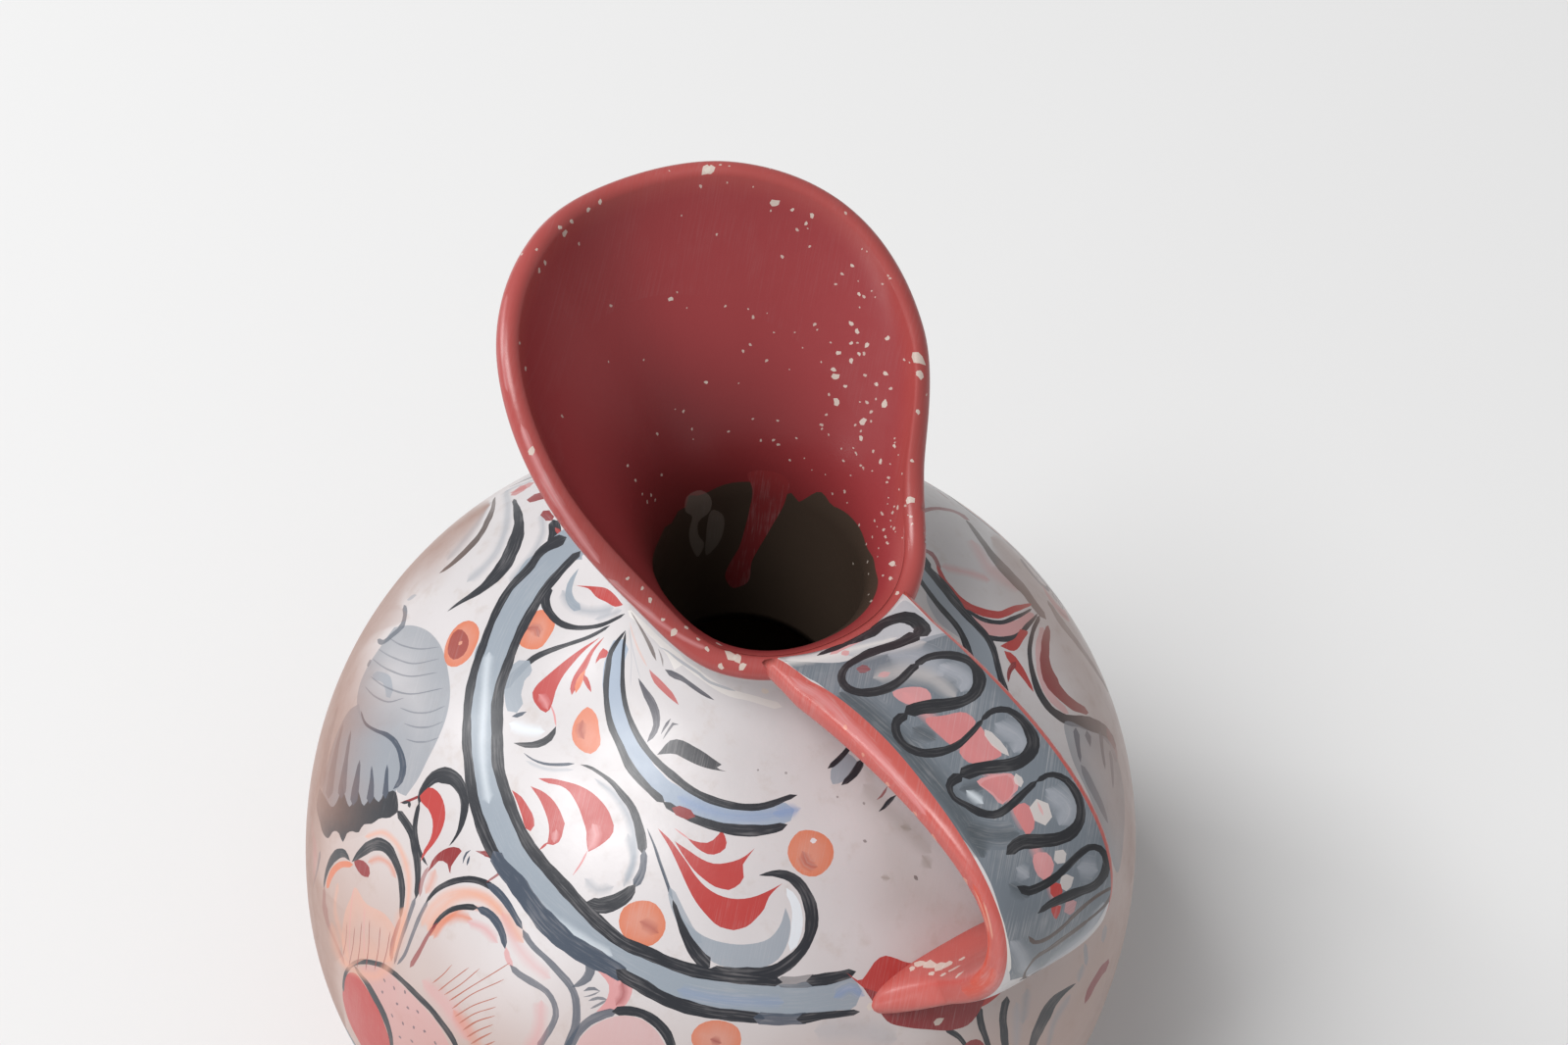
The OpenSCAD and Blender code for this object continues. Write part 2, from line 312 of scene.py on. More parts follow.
class Sheet:
    """A skin to paint on: a place function of two coordinates, and a flat chart of them."""

    def __init__(self, place, chart, unchart, rows, step, middle, around):
        self.place, self.chart, self.unchart, self.step = place, chart, unchart, step
        self.middle, self.round = middle, around
        self.shapes = []
        lines, count = rows.shape[:2]
        points = place(rows[..., 0], rows[..., 1]).reshape(-1, 3)
        self.grid = rows.reshape(-1, 2)
        corners = [i * count + j for i in range(lines - 1) for j in range(count - 1)]
        self.cells = [(k, k + 1, k + count + 1, k + count) for k in corners]
        self.tree = BVHTree.FromPolygons([Vector(p) for p in points], self.cells)

    def at(self, p):
        return self.place(p[:, 0], p[:, 1])

    def slopes(self, p):
        """Change of place with each coordinate."""
        steps = []
        for k in (0, 1):
            d = np.zeros(2)
            d[k] = self.step[k]
            steps.append((self.at(p + d) - self.at(p - d)) / (2 * self.step[k]))
        return steps

    def normals(self, p):
        a, b = self.slopes(p)
        return -unit(np.cross(a, b) + 1e-12)

    def shifted(self, p, offset):
        """Coordinates moved by small offsets in space along the skin."""
        a, b = self.slopes(p)
        aa, ab, bb = (a * a).sum(1), (a * b).sum(1), (b * b).sum(1)
        oa, ob = (offset * a).sum(1), (offset * b).sum(1)
        det = np.maximum(aa * bb - ab * ab, 1e-9)
        return p + np.stack([(oa * bb - ob * ab) / det, (ob * aa - oa * ab) / det], -1)

    def under(self, pixels):
        """Coordinates on the skin under pixels of the photograph."""
        found, hits = [], []
        for pixel in np.asarray(pixels, float):
            for _ in range(MISS_TRIES):
                x, y = (pixel - PICTURE / 2) / FOCAL_PX
                ray = unit(LOOK + x * RIGHT - y * UP)
                hit, _, cell, _ = self.tree.ray_cast(Vector(CAMERA_AT), Vector(ray))
                if hit is not None:
                    break
                pixel = pixel + unit(np.array(self.middle) - pixel) * MISS_STEP
            found.append(self.grid[list(self.cells[cell])].mean(0))
            hits.append(hit)
        found, hits = np.array(found), np.array(hits)
        for _ in range(SETTLE_ROUNDS):
            found = self.shifted(found, hits - self.at(found))
        if self.round:
            found[:, 0] = np.unwrap(found[:, 0])
        return found


# lines of the nets that pixels are cast on: round the pot, in each stretch of its runs, and on the strap
CAST_AZIMUTHS, CAST_RUNS, CAST_STRAP = 181, (40, 12, 30, 90), (97, 100)
CAST_STOPS = (RUN_END, RUN_INSIDE, RUN_LIP, 0, RUN_BASE)


def pot_rows():
    """Places on the pot for the net that pixels are cast on."""
    azimuths = np.linspace(-pi, pi, CAST_AZIMUTHS)
    runs = [RUN_END]
    for start, end, count in zip(CAST_STOPS[:-1], CAST_STOPS[1:], CAST_RUNS):
        runs += list(np.linspace(start, end, count)[1:])
    return np.stack(np.meshgrid(azimuths, runs, indexing="xy"), -1)


def strap_rows():
    girths = np.linspace(0, STRAP_GIRTH, CAST_STRAP[0])
    runs = np.linspace(-CAP_RUN, STRAP_LENGTH, CAST_STRAP[1])
    return np.stack(np.meshgrid(girths, runs, indexing="xy"), -1)


def strap_chart(p):
    return p * [-1, 1]


BODY_MIDDLE, STRAP_MIDDLE = (734.0, 866.0), (980.0, 800.0)  # pixels that a missed one moves towards
POT_STEP, STRAP_STEP = (2e-4, 0.02), (0.02, 0.02)  # small steps of a sheet's two coordinates
POT = Sheet(pot_place, pot_chart, pot_unchart, pot_rows(), POT_STEP, BODY_MIDDLE, True)
STRAP = Sheet(strap_place, strap_chart, strap_chart, strap_rows(), STRAP_STEP, STRAP_MIDDLE, False)


# brush strokes and filled shapes
DETAIL = 1.5  # mm between points along an edge
CHIP_SCALE = 3.6  # photo pixels to a millimetre where the chips are
SCALE_LIMITS = (1.2, 5.5)  # photo pixels to a millimetre, across strokes
WAVES = ((0.06, 0.55, 1.7), (0.04, 1.3, 2.9))  # a brush's unevenness: share of width, rate, shift by mark
RAIL_GAP, WIDE_STROKE = 6, 3.5  # mm; a stroke over the second gets rows inside it, one more each gap
THINNEST, SMALLEST_TIP = 0.06, 0.2
CHIP_CORNERS = 7
NEAR_CHUNK = 4000
NO_AREA, MERGE_GAP = 1e-14, 1e-9


def points(text):
    """Rows of points from text such as "1,2 3,4 | 5,6": a bar marks a sharp corner."""
    return [[[float(v) for v in pair.split(",")] for pair in part.split()] for part in text.split("|")]


def curve(sheet, p, around=None):
    """Even points along a smooth curve through coordinates p on a sheet. around is what a closed
    curve adds to them in one turn."""
    count = len(p)
    if around is not None:
        p = np.vstack([p[-2:] - around, p, p[:3] + around])
    run = lengths(sheet.at(p)) + np.arange(len(p)) * 1e-6
    slope = np.gradient(p, run, axis=0) if len(p) > 2 else np.repeat((p[1:] - p[:1]) / run[1], 2, 0)
    begin, end = (run[2], run[2 + count]) if around is not None else (0.0, run[-1])
    even = np.linspace(begin, end, max(4, int((end - begin) / DETAIL) + 2))
    i = np.clip(np.searchsorted(run, even, side="right") - 1, 0, len(run) - 2)
    gap = (run[i + 1] - run[i])[:, None]
    u = (even - run[i])[:, None] / gap
    return ((2 * u**3 - 3 * u**2 + 1) * p[i] + (u**3 - 2 * u**2 + u) * gap * slope[i]
            + (3 * u**2 - 2 * u**3) * p[i + 1] + (u**3 - u**2) * gap * slope[i + 1])


def traced(sheet, parts, closed=False):
    """One row of coordinates through all parts, each part smooth and each join a corner."""
    first, last = np.array(parts[0][0]), np.array(parts[-1][-1])
    around = np.array([round((last[0] - first[0]) / tau) * tau if sheet.round else 0.0, 0.0])
    if closed and len(parts) == 1:
        return curve(sheet, np.array(parts[0]), around)[:-1]
    rows, before = [], None
    for k, part in enumerate(parts):
        row = [list(q) for q in part]
        if before is not None:
            row = [before] + row
        if closed and k == len(parts) - 1:
            row = row + [list(first + around)]
        before = row[-1]
        if len(row) > 1:
            row = curve(sheet, np.array(row))
            rows.append(row[1:] if rows else row)
    row = np.concatenate(rows)
    return row[:-1] if closed else row


def laid(sheet, text):
    """Coordinates of a text of points: pixels of the photograph, or places on the clay when the text
    starts with "@": azimuth in degrees and run, or girth and run on the strap."""
    on_clay = text.startswith("@")
    parts = points(text.lstrip("@"))
    flat = np.array([q for part in parts for q in part])
    if on_clay:
        flat = flat * [radians(1), 1] if sheet.round else flat
    else:
        flat = sheet.under(flat)
    out, k = [], 0
    for part in parts:
        out.append(flat[k:k + len(part)].tolist())
        k += len(part)
    return out


def photo_scale(at, side):
    """Photo pixels to a millimetre along side, for points of the clay."""
    def seen(p):
        d = p - CAMERA_AT
        return np.stack([d @ RIGHT, d @ UP], -1) / (d @ LOOK)[:, None] * FOCAL_PX
    return np.clip(np.linalg.norm(seen(at + side) - seen(at), axis=1), *SCALE_LIMITS)


def moved(p, flip, turn):
    """Coordinates on the pot, mirrored in its plane of symmetry if asked, then turned by degrees."""
    return p * [-1 if flip else 1, 1] + [radians(turn), 0]


def stroke(sheet, paint, widths, text, solid=1.0, soft=False, flip=False, turn=0):
    """A brush stroke, with widths spread evenly along it."""
    p = traced(sheet, laid(sheet, text))
    at = sheet.at(p)
    run = lengths(at)
    side = unit(np.cross(sheet.normals(p), unit(np.gradient(at, axis=0) + 1e-9)))
    w = np.full(len(run), widths[0])
    if len(widths) > 1:
        w = np.interp(run / run[-1], np.linspace(0, 1, len(widths)), widths)
    if not text.startswith("@"):
        w = w / photo_scale(at, side)
    seed = len(sheet.shapes)
    slow, quick = [size * np.sin(run * rate + seed * shift) for size, rate, shift in WAVES]
    w = w * (1 + slow + quick)
    tip = np.clip(np.minimum(run, run[-1] - run) / np.maximum(w / 2, SMALLEST_TIP), 0, 1)
    w = np.maximum(w * np.sqrt(1 - (1 - tip) ** 2), THINNEST)
    more = int(w.max() / RAIL_GAP)
    rails = np.linspace(-1, 1, 5 + more if soft else 3 + more if w.max() > WIDE_STROKE else 2)
    rows = [sheet.shifted(p, side * (k * w / 2)[:, None]) for k in rails]
    if flip or turn:
        rows = [moved(row, flip, turn) for row in rows]
        at = sheet.at(moved(p, flip, turn))
        side = sheet.at(rows[-1]) - at
    faces = []
    for a, b in zip(rows[:-1], rows[1:]):
        a, b = sheet.chart(a), sheet.chart(b)
        for i in range(len(a) - 1):
            faces += [(a[i], a[i + 1], b[i + 1]), (a[i], b[i + 1], b[i])]
    sheet.shapes.append(dict(paint=paint, faces=faces, line=at, run=run, half=w / 2, side=side,
                             solid=solid, soft=soft, kind="stroke"))


def fill(sheet, paint, text, solid=1.0, fade=None, flip=False, turn=0, row=None):
    """A filled shape. fade = (opacity at the middle, distance over which it changes)."""
    p = traced(sheet, laid(sheet, text), closed=True) if row is None else row
    p = moved(p, flip, turn) if flip or turn else p
    sheet.shapes.append(dict(paint=paint, outline=sheet.chart(p), line=sheet.at(np.vstack([p, p[:1]])),
                             solid=solid, fade=fade, kind="fill"))


def chip(sheet, paint, solid, centre, size):
    """A small uneven spot round a place on a sheet."""
    seed = len(sheet.shapes)
    turn = np.arange(CHIP_CORNERS) / CHIP_CORNERS * tau
    r = size * (1 + 0.25 * np.sin(turn * 2 + seed) + 0.15 * np.sin(turn * 3 + seed * 2.3))
    centre = np.repeat(centre[None], CHIP_CORNERS, 0)
    across = unit(np.cross(sheet.normals(centre), UP))
    along = np.cross(sheet.normals(centre), across)
    offset = (r * np.cos(turn))[:, None] * across + (r * np.sin(turn))[:, None] * along
    fill(sheet, paint, "", solid, row=sheet.shifted(centre, offset))


def spots(sheet, paint, solid, text):
    """Chips given as places and radii in pixels of the photograph."""
    for x, y, size in (map(float, spot.split(",")) for spot in text.split()):
        chip(sheet, paint, solid, sheet.under([(x, y)])[0], size / CHIP_SCALE)


def draw(sheet, motif, flip=False, turn=0):
    """Adds a motif's marks to a sheet."""
    marks = [mark.split(": ") for mark in motif.strip().splitlines()]
    for head, text in [(head, text) for heads, text in marks for head in heads.split(" + ")]:
        paint, widths, *options = head.split()
        solid = next((float(o) for o in options if "/" not in o and o != "soft"), 1.0)
        if widths == "o":
            spots(sheet, paint, solid, text)
        elif widths == "*":
            fade = next((tuple(float(v) for v in o.split("/")) for o in options if "/" in o), None)
            fill(sheet, paint, text, solid, fade, flip, turn)
        else:
            widths = [float(w) for w in widths.split(",")]
            stroke(sheet, paint, widths, text, solid, "soft" in options, flip, turn)


def nearest(at, line):
    """For points, the nearest place on a line: its distance, segment and share along the segment."""
    a, d = line[:-1], np.diff(line, axis=0)
    best = np.full(len(at), 1e9)
    seg, along = np.zeros(len(at), int), np.zeros(len(at))
    size = (d * d).sum(1) + 1e-12
    for start in range(0, len(at), NEAR_CHUNK):
        part = slice(start, start + NEAR_CHUNK)
        chunk = at[part]
        u = np.clip(((chunk[:, None] - a) * d).sum(-1) / size, 0, 1)
        gap = np.linalg.norm(chunk[:, None] - a - u[..., None] * d, axis=-1)
        k = gap.argmin(1)
        rows = np.arange(len(chunk))
        best[part], seg[part], along[part] = gap[rows, k], k, u[rows, k]
    return best, seg, along


def inside(outline, at):
    """Which flat points lie inside a closed flat outline."""
    near = ((at > outline.min(0)) & (at < outline.max(0))).all(1)
    x, y = at[near].T
    odd = np.zeros(len(x), bool)
    for (ax, ay), (bx, by) in zip(outline, np.roll(outline, -1, 0)):
        if ay != by:
            odd ^= ((ay > y) != (by > y)) & (x < ax + (bx - ax) * (y - ay) / (by - ay))
    near[near] = odd
    return near


def cut(sheet, ground, rings, keep):
    """Triangles of a sheet with all its shapes cut in: chart points, triangles, and pairs of a shape
    and the triangles in it. ground is the chart's own net of points, rings are closed rows of them
    that must stay edges."""
    flat = [Vector(q) for q in ground]
    edges, faces, owner = [], [], []
    for ring in rings:
        edges += [(ring[i], ring[i + 1]) for i in range(len(ring) - 1)]
    for k, shape in enumerate(sheet.shapes):
        if shape["kind"] == "fill":
            count, first = len(shape["outline"]), len(flat)
            edges += [(first + i, first + (i + 1) % count) for i in range(count)]
            flat += [Vector(q) for q in shape["outline"]]
            continue
        for face in shape["faces"]:
            q = np.array(face)
            (ax, ay), (bx, by) = q[1] - q[0], q[2] - q[0]
            if abs(ax * by - ay * bx) > NO_AREA:
                order = (0, 1, 2) if ax * by > ay * bx else (0, 2, 1)
                faces.append([len(flat) + i for i in order])
                flat += [Vector(v) for v in q]
                owner.append(k)
    made = geometry.delaunay_2d_cdt(flat, edges, faces, 0, MERGE_GAP, True)
    verts, tris = np.array([v[:] for v in made[0]]), np.array(made[2])
    good = np.flatnonzero(keep(verts[tris].mean(1)))
    middle = verts[tris[good]].mean(1)
    covered = {}
    for t, g in enumerate(good):
        for k in {owner[f] for f in made[5][g]}:
            covered.setdefault(k, []).append(t)
    for k, shape in enumerate(sheet.shapes):
        if shape["kind"] == "fill":
            covered[k] = np.flatnonzero(inside(shape["outline"], middle))
    return verts, tris[good], [(k, np.array(covered[k])) for k in sorted(covered) if len(covered[k])]


# paints
def linear(code):
    """Linear colour of a six-digit screen colour."""
    v = np.array([int(code[i:i + 2], 16) / 255 for i in (0, 2, 4)])
    return np.where(v <= 0.04045, v / 12.92, ((v + 0.055) / 1.055) ** 2.4)


# colour, how much the brush's hairs streak it
PAINTS = {
    "black": ("2b2d33", 0.4), "line": ("26272b", 0.2), "ink": ("444d5b", 0.5), "brown": ("50403b", 0.5),
    "grey": ("5b5a61", 0.5), "mist": ("a2a5ad", 0.4), "shade": ("8b939d", 0.4), "dusk": ("43494e", 0.4),
    "wash": ("858c95", 0.35), "slate": ("939ca6", 0.3), "band": ("9aa6b6", 0.3), "blue": ("7c92ba", 0.5),
    "pale": ("dbe2e8", 0.3), "red": ("b23f3c", 0.3), "rust": ("8a3234", 0.4), "orange": ("cf7350", 0.4),
    "ember": ("cc4526", 0.4), "peach": ("d99d85", 0.4), "rose": ("d18f90", 0.4), "hatch": ("ab6654", 0.5),
    "cream": ("cac2bf", 0.2), "white": ("dcd7d3", 0.1), "chip": ("d3c8bd", 0.1), "dirt": ("8b8176", 0.3),
    # throat and deep are painted shade inside the spout and the throat
    "oxide": ("98393c", 0.06), "lip": ("a84a47", 0.1), "throat": ("483c33", 0.0),
    # tan paints a reflection of a darker room, and shade, along the body's sides
    "tan": ("8f6350", 0.0), "side": ("b8564f", 0.25), "deep": ("5e1d20", 0.0), "strap": ("6d747c", 0.6),
}


def paint_corners(sheet, verts, tris, covered):
    """Colour and cover of the slip at each corner, and where it lies along and across its stroke."""
    at = sheet.at(sheet.unchart(verts))
    slip = np.zeros((len(tris), 3, 4))
    brush = np.zeros((len(tris), 3, 3))
    for k, t in covered:
        shape = sheet.shapes[k]
        corner = at[tris[t]].reshape(-1, 3)
        code, streak = PAINTS[shape["paint"]]
        alpha = np.full(len(corner), shape["solid"])
        if shape["kind"] == "stroke":
            run, half = shape["run"], shape["half"]
            gap, seg, u = nearest(corner, shape["line"])
            along = mix(run[seg], run[np.minimum(seg + 1, len(run) - 1)], u)
            wide = mix(half[seg], half[np.minimum(seg + 1, len(run) - 1)], u)
            sign = np.sign(((corner - shape["line"][seg]) * shape["side"][seg]).sum(1))
            across = sign * np.minimum(gap, wide)
            if shape["soft"]:
                alpha = alpha * (1 - ease(gap / np.maximum(wide, 1e-6)))
        else:
            along, across = corner[:, 2], corner[:, 0] + corner[:, 1]
            if shape["fade"]:
                gap = nearest(corner, shape["line"])[0]
                alpha = mix(shape["solid"], shape["fade"][0], ease(gap / shape["fade"][1]))
        alpha = alpha.reshape(-1, 3, 1)
        slip[t] = slip[t] * (1 - alpha) + np.append(linear(code), 1.0) * alpha
        brush[t] = np.stack([along + 37.0 * k, across, np.full(len(corner), streak)], -1).reshape(-1, 3, 3)
    return slip, brush


UV_MARGIN = 0.01


def add_piece(name, mesh, material):
    """A visible piece in place of the CAD pitcher."""
    mesh.materials.append(material)
    piece = bpy.data.objects.new(name, mesh)
    bpy.context.scene.collection.objects.link(piece)
    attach(piece, "root")
    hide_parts("pitcher")


def mesh_piece(name, sheet, verts, tris, slip, brush, material, layout):
    """One piece of the painted skin, with the layers its material reads."""
    used, tris = np.unique(tris, return_inverse=True)
    tris = tris.reshape(-1, 3)
    p = sheet.unchart(verts[used])
    mesh = bpy.data.meshes.new(name)
    mesh.from_pydata((sheet.at(p) * MM).tolist(), [], tris.tolist())
    mesh.polygons.foreach_set("use_smooth", [True] * len(tris))
    mesh.color_attributes.new("slip", "FLOAT_COLOR", "CORNER").data.foreach_set("color", slip.ravel())
    mesh.attributes.new("brush", "FLOAT_VECTOR", "CORNER").data.foreach_set("vector", brush.ravel())
    flat = layout(p)
    flat = (flat - flat.min(0)) / (flat.max(0) - flat.min(0)) * (1 - 2 * UV_MARGIN) + UV_MARGIN
    uv = mesh.uv_layers.new(name="OFBake")
    uv.data.foreach_set("uv", flat[tris].ravel())
    mesh.normals_split_custom_set_from_vertices(sheet.normals(p).tolist())
    add_piece(name, mesh, material)


# run, and the gap between the net's points there (mm)
NET_GAPS = [(RUN_END, 3.0), (RUN_NECK_INSIDE, 2.4), (RUN_INSIDE - 4, 2.0), (RUN_INSIDE, 0.8),
            (RUN_LIP, 0.8), (RUN_LIP + 4, 2.0), (0.0, 2.2), (RUN_BASE, 2.6)]
NET_EDGES = [RUN_END, RUN_CREST, 0.0, RUN_WAIST, RUN_BASE]  # runs where one piece ends and the next starts
RING_GAP, RING_AZIMUTH = 1.3, 1.2  # mm, the least gap round a ring; radians, where its radius is taken
NET_SAMPLES = 2000
STRAP_COLUMNS, STRAP_LINES, CAP_LINES = 61, 92, 5


def pot_ground():
    """The pot chart's own net: rings of points, and the rings that stay edges."""
    where, gaps = np.array(NET_GAPS).T
    runs = []
    for a, b in zip(NET_EDGES[:-1], NET_EDGES[1:]):
        weight = np.linspace(a, b, NET_SAMPLES)
        steps = np.concatenate([[0], np.cumsum(np.diff(weight) / np.interp(weight[1:], where, gaps))])
        runs += list(np.interp(np.arange(round(steps[-1])) / round(steps[-1]) * steps[-1], steps, weight))
    runs.append(NET_EDGES[-1])
    net, edges = [], []
    for k, run in enumerate(runs):
        middle = pot_place(np.array([RING_AZIMUTH]), np.array([run]))[0]
        r = np.hypot(middle[0], middle[1])
        count = int(tau * r / max(np.interp(run, where, gaps), RING_GAP))
        a = (np.arange(count) + 0.5 * (k % 2)) / count * tau
        ring = pot_chart(np.stack([a, np.full(count, run)], -1))
        if any(abs(run - edge) < 1e-6 for edge in NET_EDGES):
            edges.append([len(net) + i for i in range(count)] + [len(net)])
        net += list(ring)
    return net, edges


def strap_ground():
    """The strap chart's own net, every second line shifted by half a gap."""
    girths = np.linspace(0, STRAP_GIRTH, STRAP_COLUMNS)
    between = np.concatenate([[0], (girths[1:] + girths[:-1]) / 2, [STRAP_GIRTH]])
    runs = np.concatenate([np.linspace(-CAP_RUN, 0, CAP_LINES)[:-1],
                           np.linspace(0, STRAP_LENGTH, STRAP_LINES)])
    net = [(-girth, run) for k, run in enumerate(runs) for girth in (between if k % 2 else girths)]
    return net, []


# the ornament
# One mark to a line: paint, widths along the stroke ("*" fills the outline instead), then an opacity,
# "soft" edges or an opacity/distance fade, a colon and the points. A "+" lays a second paint on the
# same outline, "o" makes round chips of x,y,radius, and "|" is a corner. Widths are photo pixels, or
# millimetres for points that start with "@" and lie on the clay as azimuth and run.
# Painted shade: deep darkens the spout's lower inside, throat darkens the bare clay of the throat. The rose
# strokes on the lip are wear and a painted highlight.
THROAT = """
oxide * 0 1/7: @0,-66 40,-66 80,-66 120,-66 160,-66 200,-66 240,-66 280,-66 320,-66
deep * 0 .55/34: @0,-88 40,-86 80,-82 120,-92 160,-96 200,-96 240,-92 280,-100 320,-96
throat *: @36,-127 29,-126.5 22,-127.4 16,-126 11,-126.6 8,-124.4 3,-125.4 -3,-125.7 -11,-125.2 -22,-125 \
-36,-125.4 -48,-127 -52,-126 -57,-127.5 -61,-125.6 -69,-122 -77,-123 -83,-121.5 -92,-119 -100,-117 \
-112,-116.4 -120,-113 -127,-112 -137,-107 -150,-104 -165,-103 -180,-104 -195,-106 -210,-110 -230,-116 \
-260,-120 -290,-124 -308,-126
rust *: 762,484 767,497 764,521 755,555 741,593 748,600 758,597 767,572 784,542 801,510 804,490
chip * .2: 700,507 712,500 722,504 726,513 722,524 714,530 712,545 718,556 712,568 706,560 703,540 \
706,528 698,518
chip * .15: 728,520 736,524 738,540 730,558 722,566 720,548
rose 7,11,11,7 .75 soft: 531,432 552,482 580,530 612,575
rose 6,8,6 .7 soft: 620,590 640,608 680,640 722,662
rose 6,7,6 .35 soft: 517,300 512,350 518,400
chip o .85: 720,173,4 724,173,4 790,207,3.5 935,365,5.5 938,382,3.5 853,410,3 902,412,3 880,430,3 \
928,510,3.5 910,575,3 908,590,2 745,668,5 752,671,4 757,680,3 790,690,3 795,700,2.5 780,705,3 \
735,680,2.5 733,657,2.5 687,645,3 905,345,2 852,384,3 903,381,2 912,455,1.5 878,447,2 898,470,1.5 \
576,238,3 571,232,2 583,226,2 556,268,2 550,276,2 612,206,2 600,214,2 684,305,2 720,390,1.5 868,330,2 \
874,338,2 868,368,2 884,352,2 868,350,1.5 862,394,1.5 869,271,1.5 876,300,1.5 828,220,2 822,228,1.5 \
808,214,1.5 855,360,2 850,377,2 876,361,1.5 894,392,1.5 542,460,3 536,376,2 530,350,1.5 648,490,1.5 \
664,505,1.5 660,512,1.5 668,510,1.2 655,504,1.2 640,475,1.5 700,640,2 712,652,1.5 721,662,2 663,612,2 \
655,600,1.5 640,590,1.5 676,632,1.5 930,470,1.5 936,420,2 915,605,2 922,620,2 870,575,1.2
"""
HIDDEN_TURN = 25  # degrees that the mirrored motifs of the far side are turned, off the seen ones
# paint, width, run, degrees between points, last azimuth
LOW_BANDS = (("slate", 8, 156, 30, 362), ("black", 2.2, 151, 30, 362), ("black", 2.2, 161, 30, 362),
             ("red", 16, 240, 45, 364), ("black", 1.8, 229, 45, 364))
LOW_LEAF = """
slate 3,7,9,6,2 .7 soft: @0,168 5,182 4,196 0,208 -2,216
red *: @-1,172 3,180 5,190 3,202 -3,214 | -5,202 -5,188 -3,178
black 1,2.2,2.6,2.2,1: @-2,168 5,177 9,190 6,205 -3,219
black 1,2,2.2,1.6,1: @-3,169 -8,182 -8,196 -5,208 -2,218
orange * .95 .8/1.5: @15,176 18,178 18,184 15,187 12,184 12,178
black 0.8,1.6,0.8: @11,196 15,192 19,196
black 0.8,1.6,0.8: @11,202 15,198 19,202
"""
BELLY_CURL = """
orange * .95 .8/1.5: @0,131 2.6,132.5 3.4,136 2,139.5 -1,140.5 -3.4,138 -3.2,133.5
rust 2 .6 soft: @-0.5,134 0.5,138
black 1,2.4,3,2.6,1.4: @-10,147 -12.5,138 -9,129 -3,124 4,124
black 1,2.2,2.6,1.8,1: @10,147 12,139 10,131 7,127 5,129
red *: @-8,146 -9,139 -7,133 | -5.4,139 -6,144
"""
# Brown painted along the two sides of the body seen from the camera: a painted reflection of a darker room,
# on the right also painted shade.
SIDE_REFLECTION_SHADE = """
tan 105 .9 soft: 330,1060 316,1000 315,940 314,880 322,800 340,720 365,655 400,600 450,550 500,515
tan 90 .6 soft: 1010,548 1030,565 1060,600 1105,670 1135,750 1150,830 1154,900
"""
# The two pale soft strokes are painted highlights on the ring's band.
GREAT_RING = """
slate 34: 590,551 583,556 555,577 536,600 513,640 498,680 492,720 490,740 493,780 496,800 501,820 \
508,840 516,860 528,880 543,900 561,920 583,940 608,960 643,980 700,1007 740,1016 780,1020 820,1020 \
860,1014 879,1011
blue 20 .35 soft: 690,1010 740,1020 770,1022 800,1022
blue 16 .6 soft: 850,1018 866,1008 882,1016
pale 16 .5 soft: 527,905 560,935 590,955 625,975
pale 14 .5 soft: 499,665 494,720 492,770 499,820
black 8,9,10,9,12,13,12,11,13,14,14,13,13,12,11: 592,562 574,580 557,600 544,620 533,640 524,660 517,680 \
510,700 507,720 507,740 507,760 508,780 513,800 520,820 528,840 538,860 553,880 571,900 589,920 609,940 \
638,963 660,972 680,981 700,988 720,993 740,996 780,1000 798,1002
black 12 .55: 790,1001 812,1002 836,999
black 12,12,11,9: 822,1001 840,999 860,995 873,991
black 12,9,8,8,8,9,9,10,11,12,13: 578,548 567,553 555,560 539,580 520,600 508,620 499,640 492,660 \
485,680 480,700 477,720 476,740 476,760 478,780 480,800 484,820 490,840 498,860 509,880
ink 14,18,20,22,20,16: 503,868 509,880 526,900 540,920 556,940 566,950 577,960 592,970 610,980 625,988 \
640,998
black 13,14,14,13,12,11: 628,989 640,998 650,1003 670,1015 680,1020 700,1027 720,1032 740,1035 760,1037 \
780,1039
ink 12 .9: 768,1038 800,1040 828,1038
black 11,9,7,5: 812,1040 840,1036 860,1034 877,1032
"""
RING_BEHIND = """
slate 8: @32,24 20,21.5 0,19.5 -25,19 -50,19.5 -75,20 -100,20.5 -114,25 -122,31 -130,34 -138,38
black 2.2: @32,28 20,25.5 0,23.5 -25,23 -50,23.5 -75,24 -100,24.5
black 2.6,3,3,2.6,2,2,3: @-94,22.5 -101,23.5 -109,26 -115,29.5 -122,35.5 -130,38 -138,42
black 2.2: @32,20 20,17.5 0,15.5 -25,15 -50,15.5 -75,16 -100,16.5 -114,21 -122,27 -130,30 -138,34
"""
SMALL_RING = """
band 20: 636,652 630,665 626,680 625,700 627,720 633,740 645,765 660,788 680,806 700,819 720,827 745,832 \
775,833 800,829 810,826
blue 18 .45 soft: 690,812 725,827 745,832 760,833 790,830 817,824
blue 20 .55 soft: 788,830 815,826
black 2,5,6,6,6,7,8,9,8,8: 638,643 629,655 623,665 620,680 618,700 619,720 623,740 632,760 641,780 \
657,800 678,819
black 8,7,9,11,12,11,7: 676,818 700,832 715,838 735,844 755,847 775,847 790,845 803,841
rust 10,11,8: 685,824 697,829 709,833
black 2,4,5,6,7,8,8,8,7,5: 638,644 636,660 635,680 635,700 638,720 645,740 656,760 670,777 688,793 \
702,804 716,812 735,819 755,823 775,823 790,819 805,813 813,811
"""
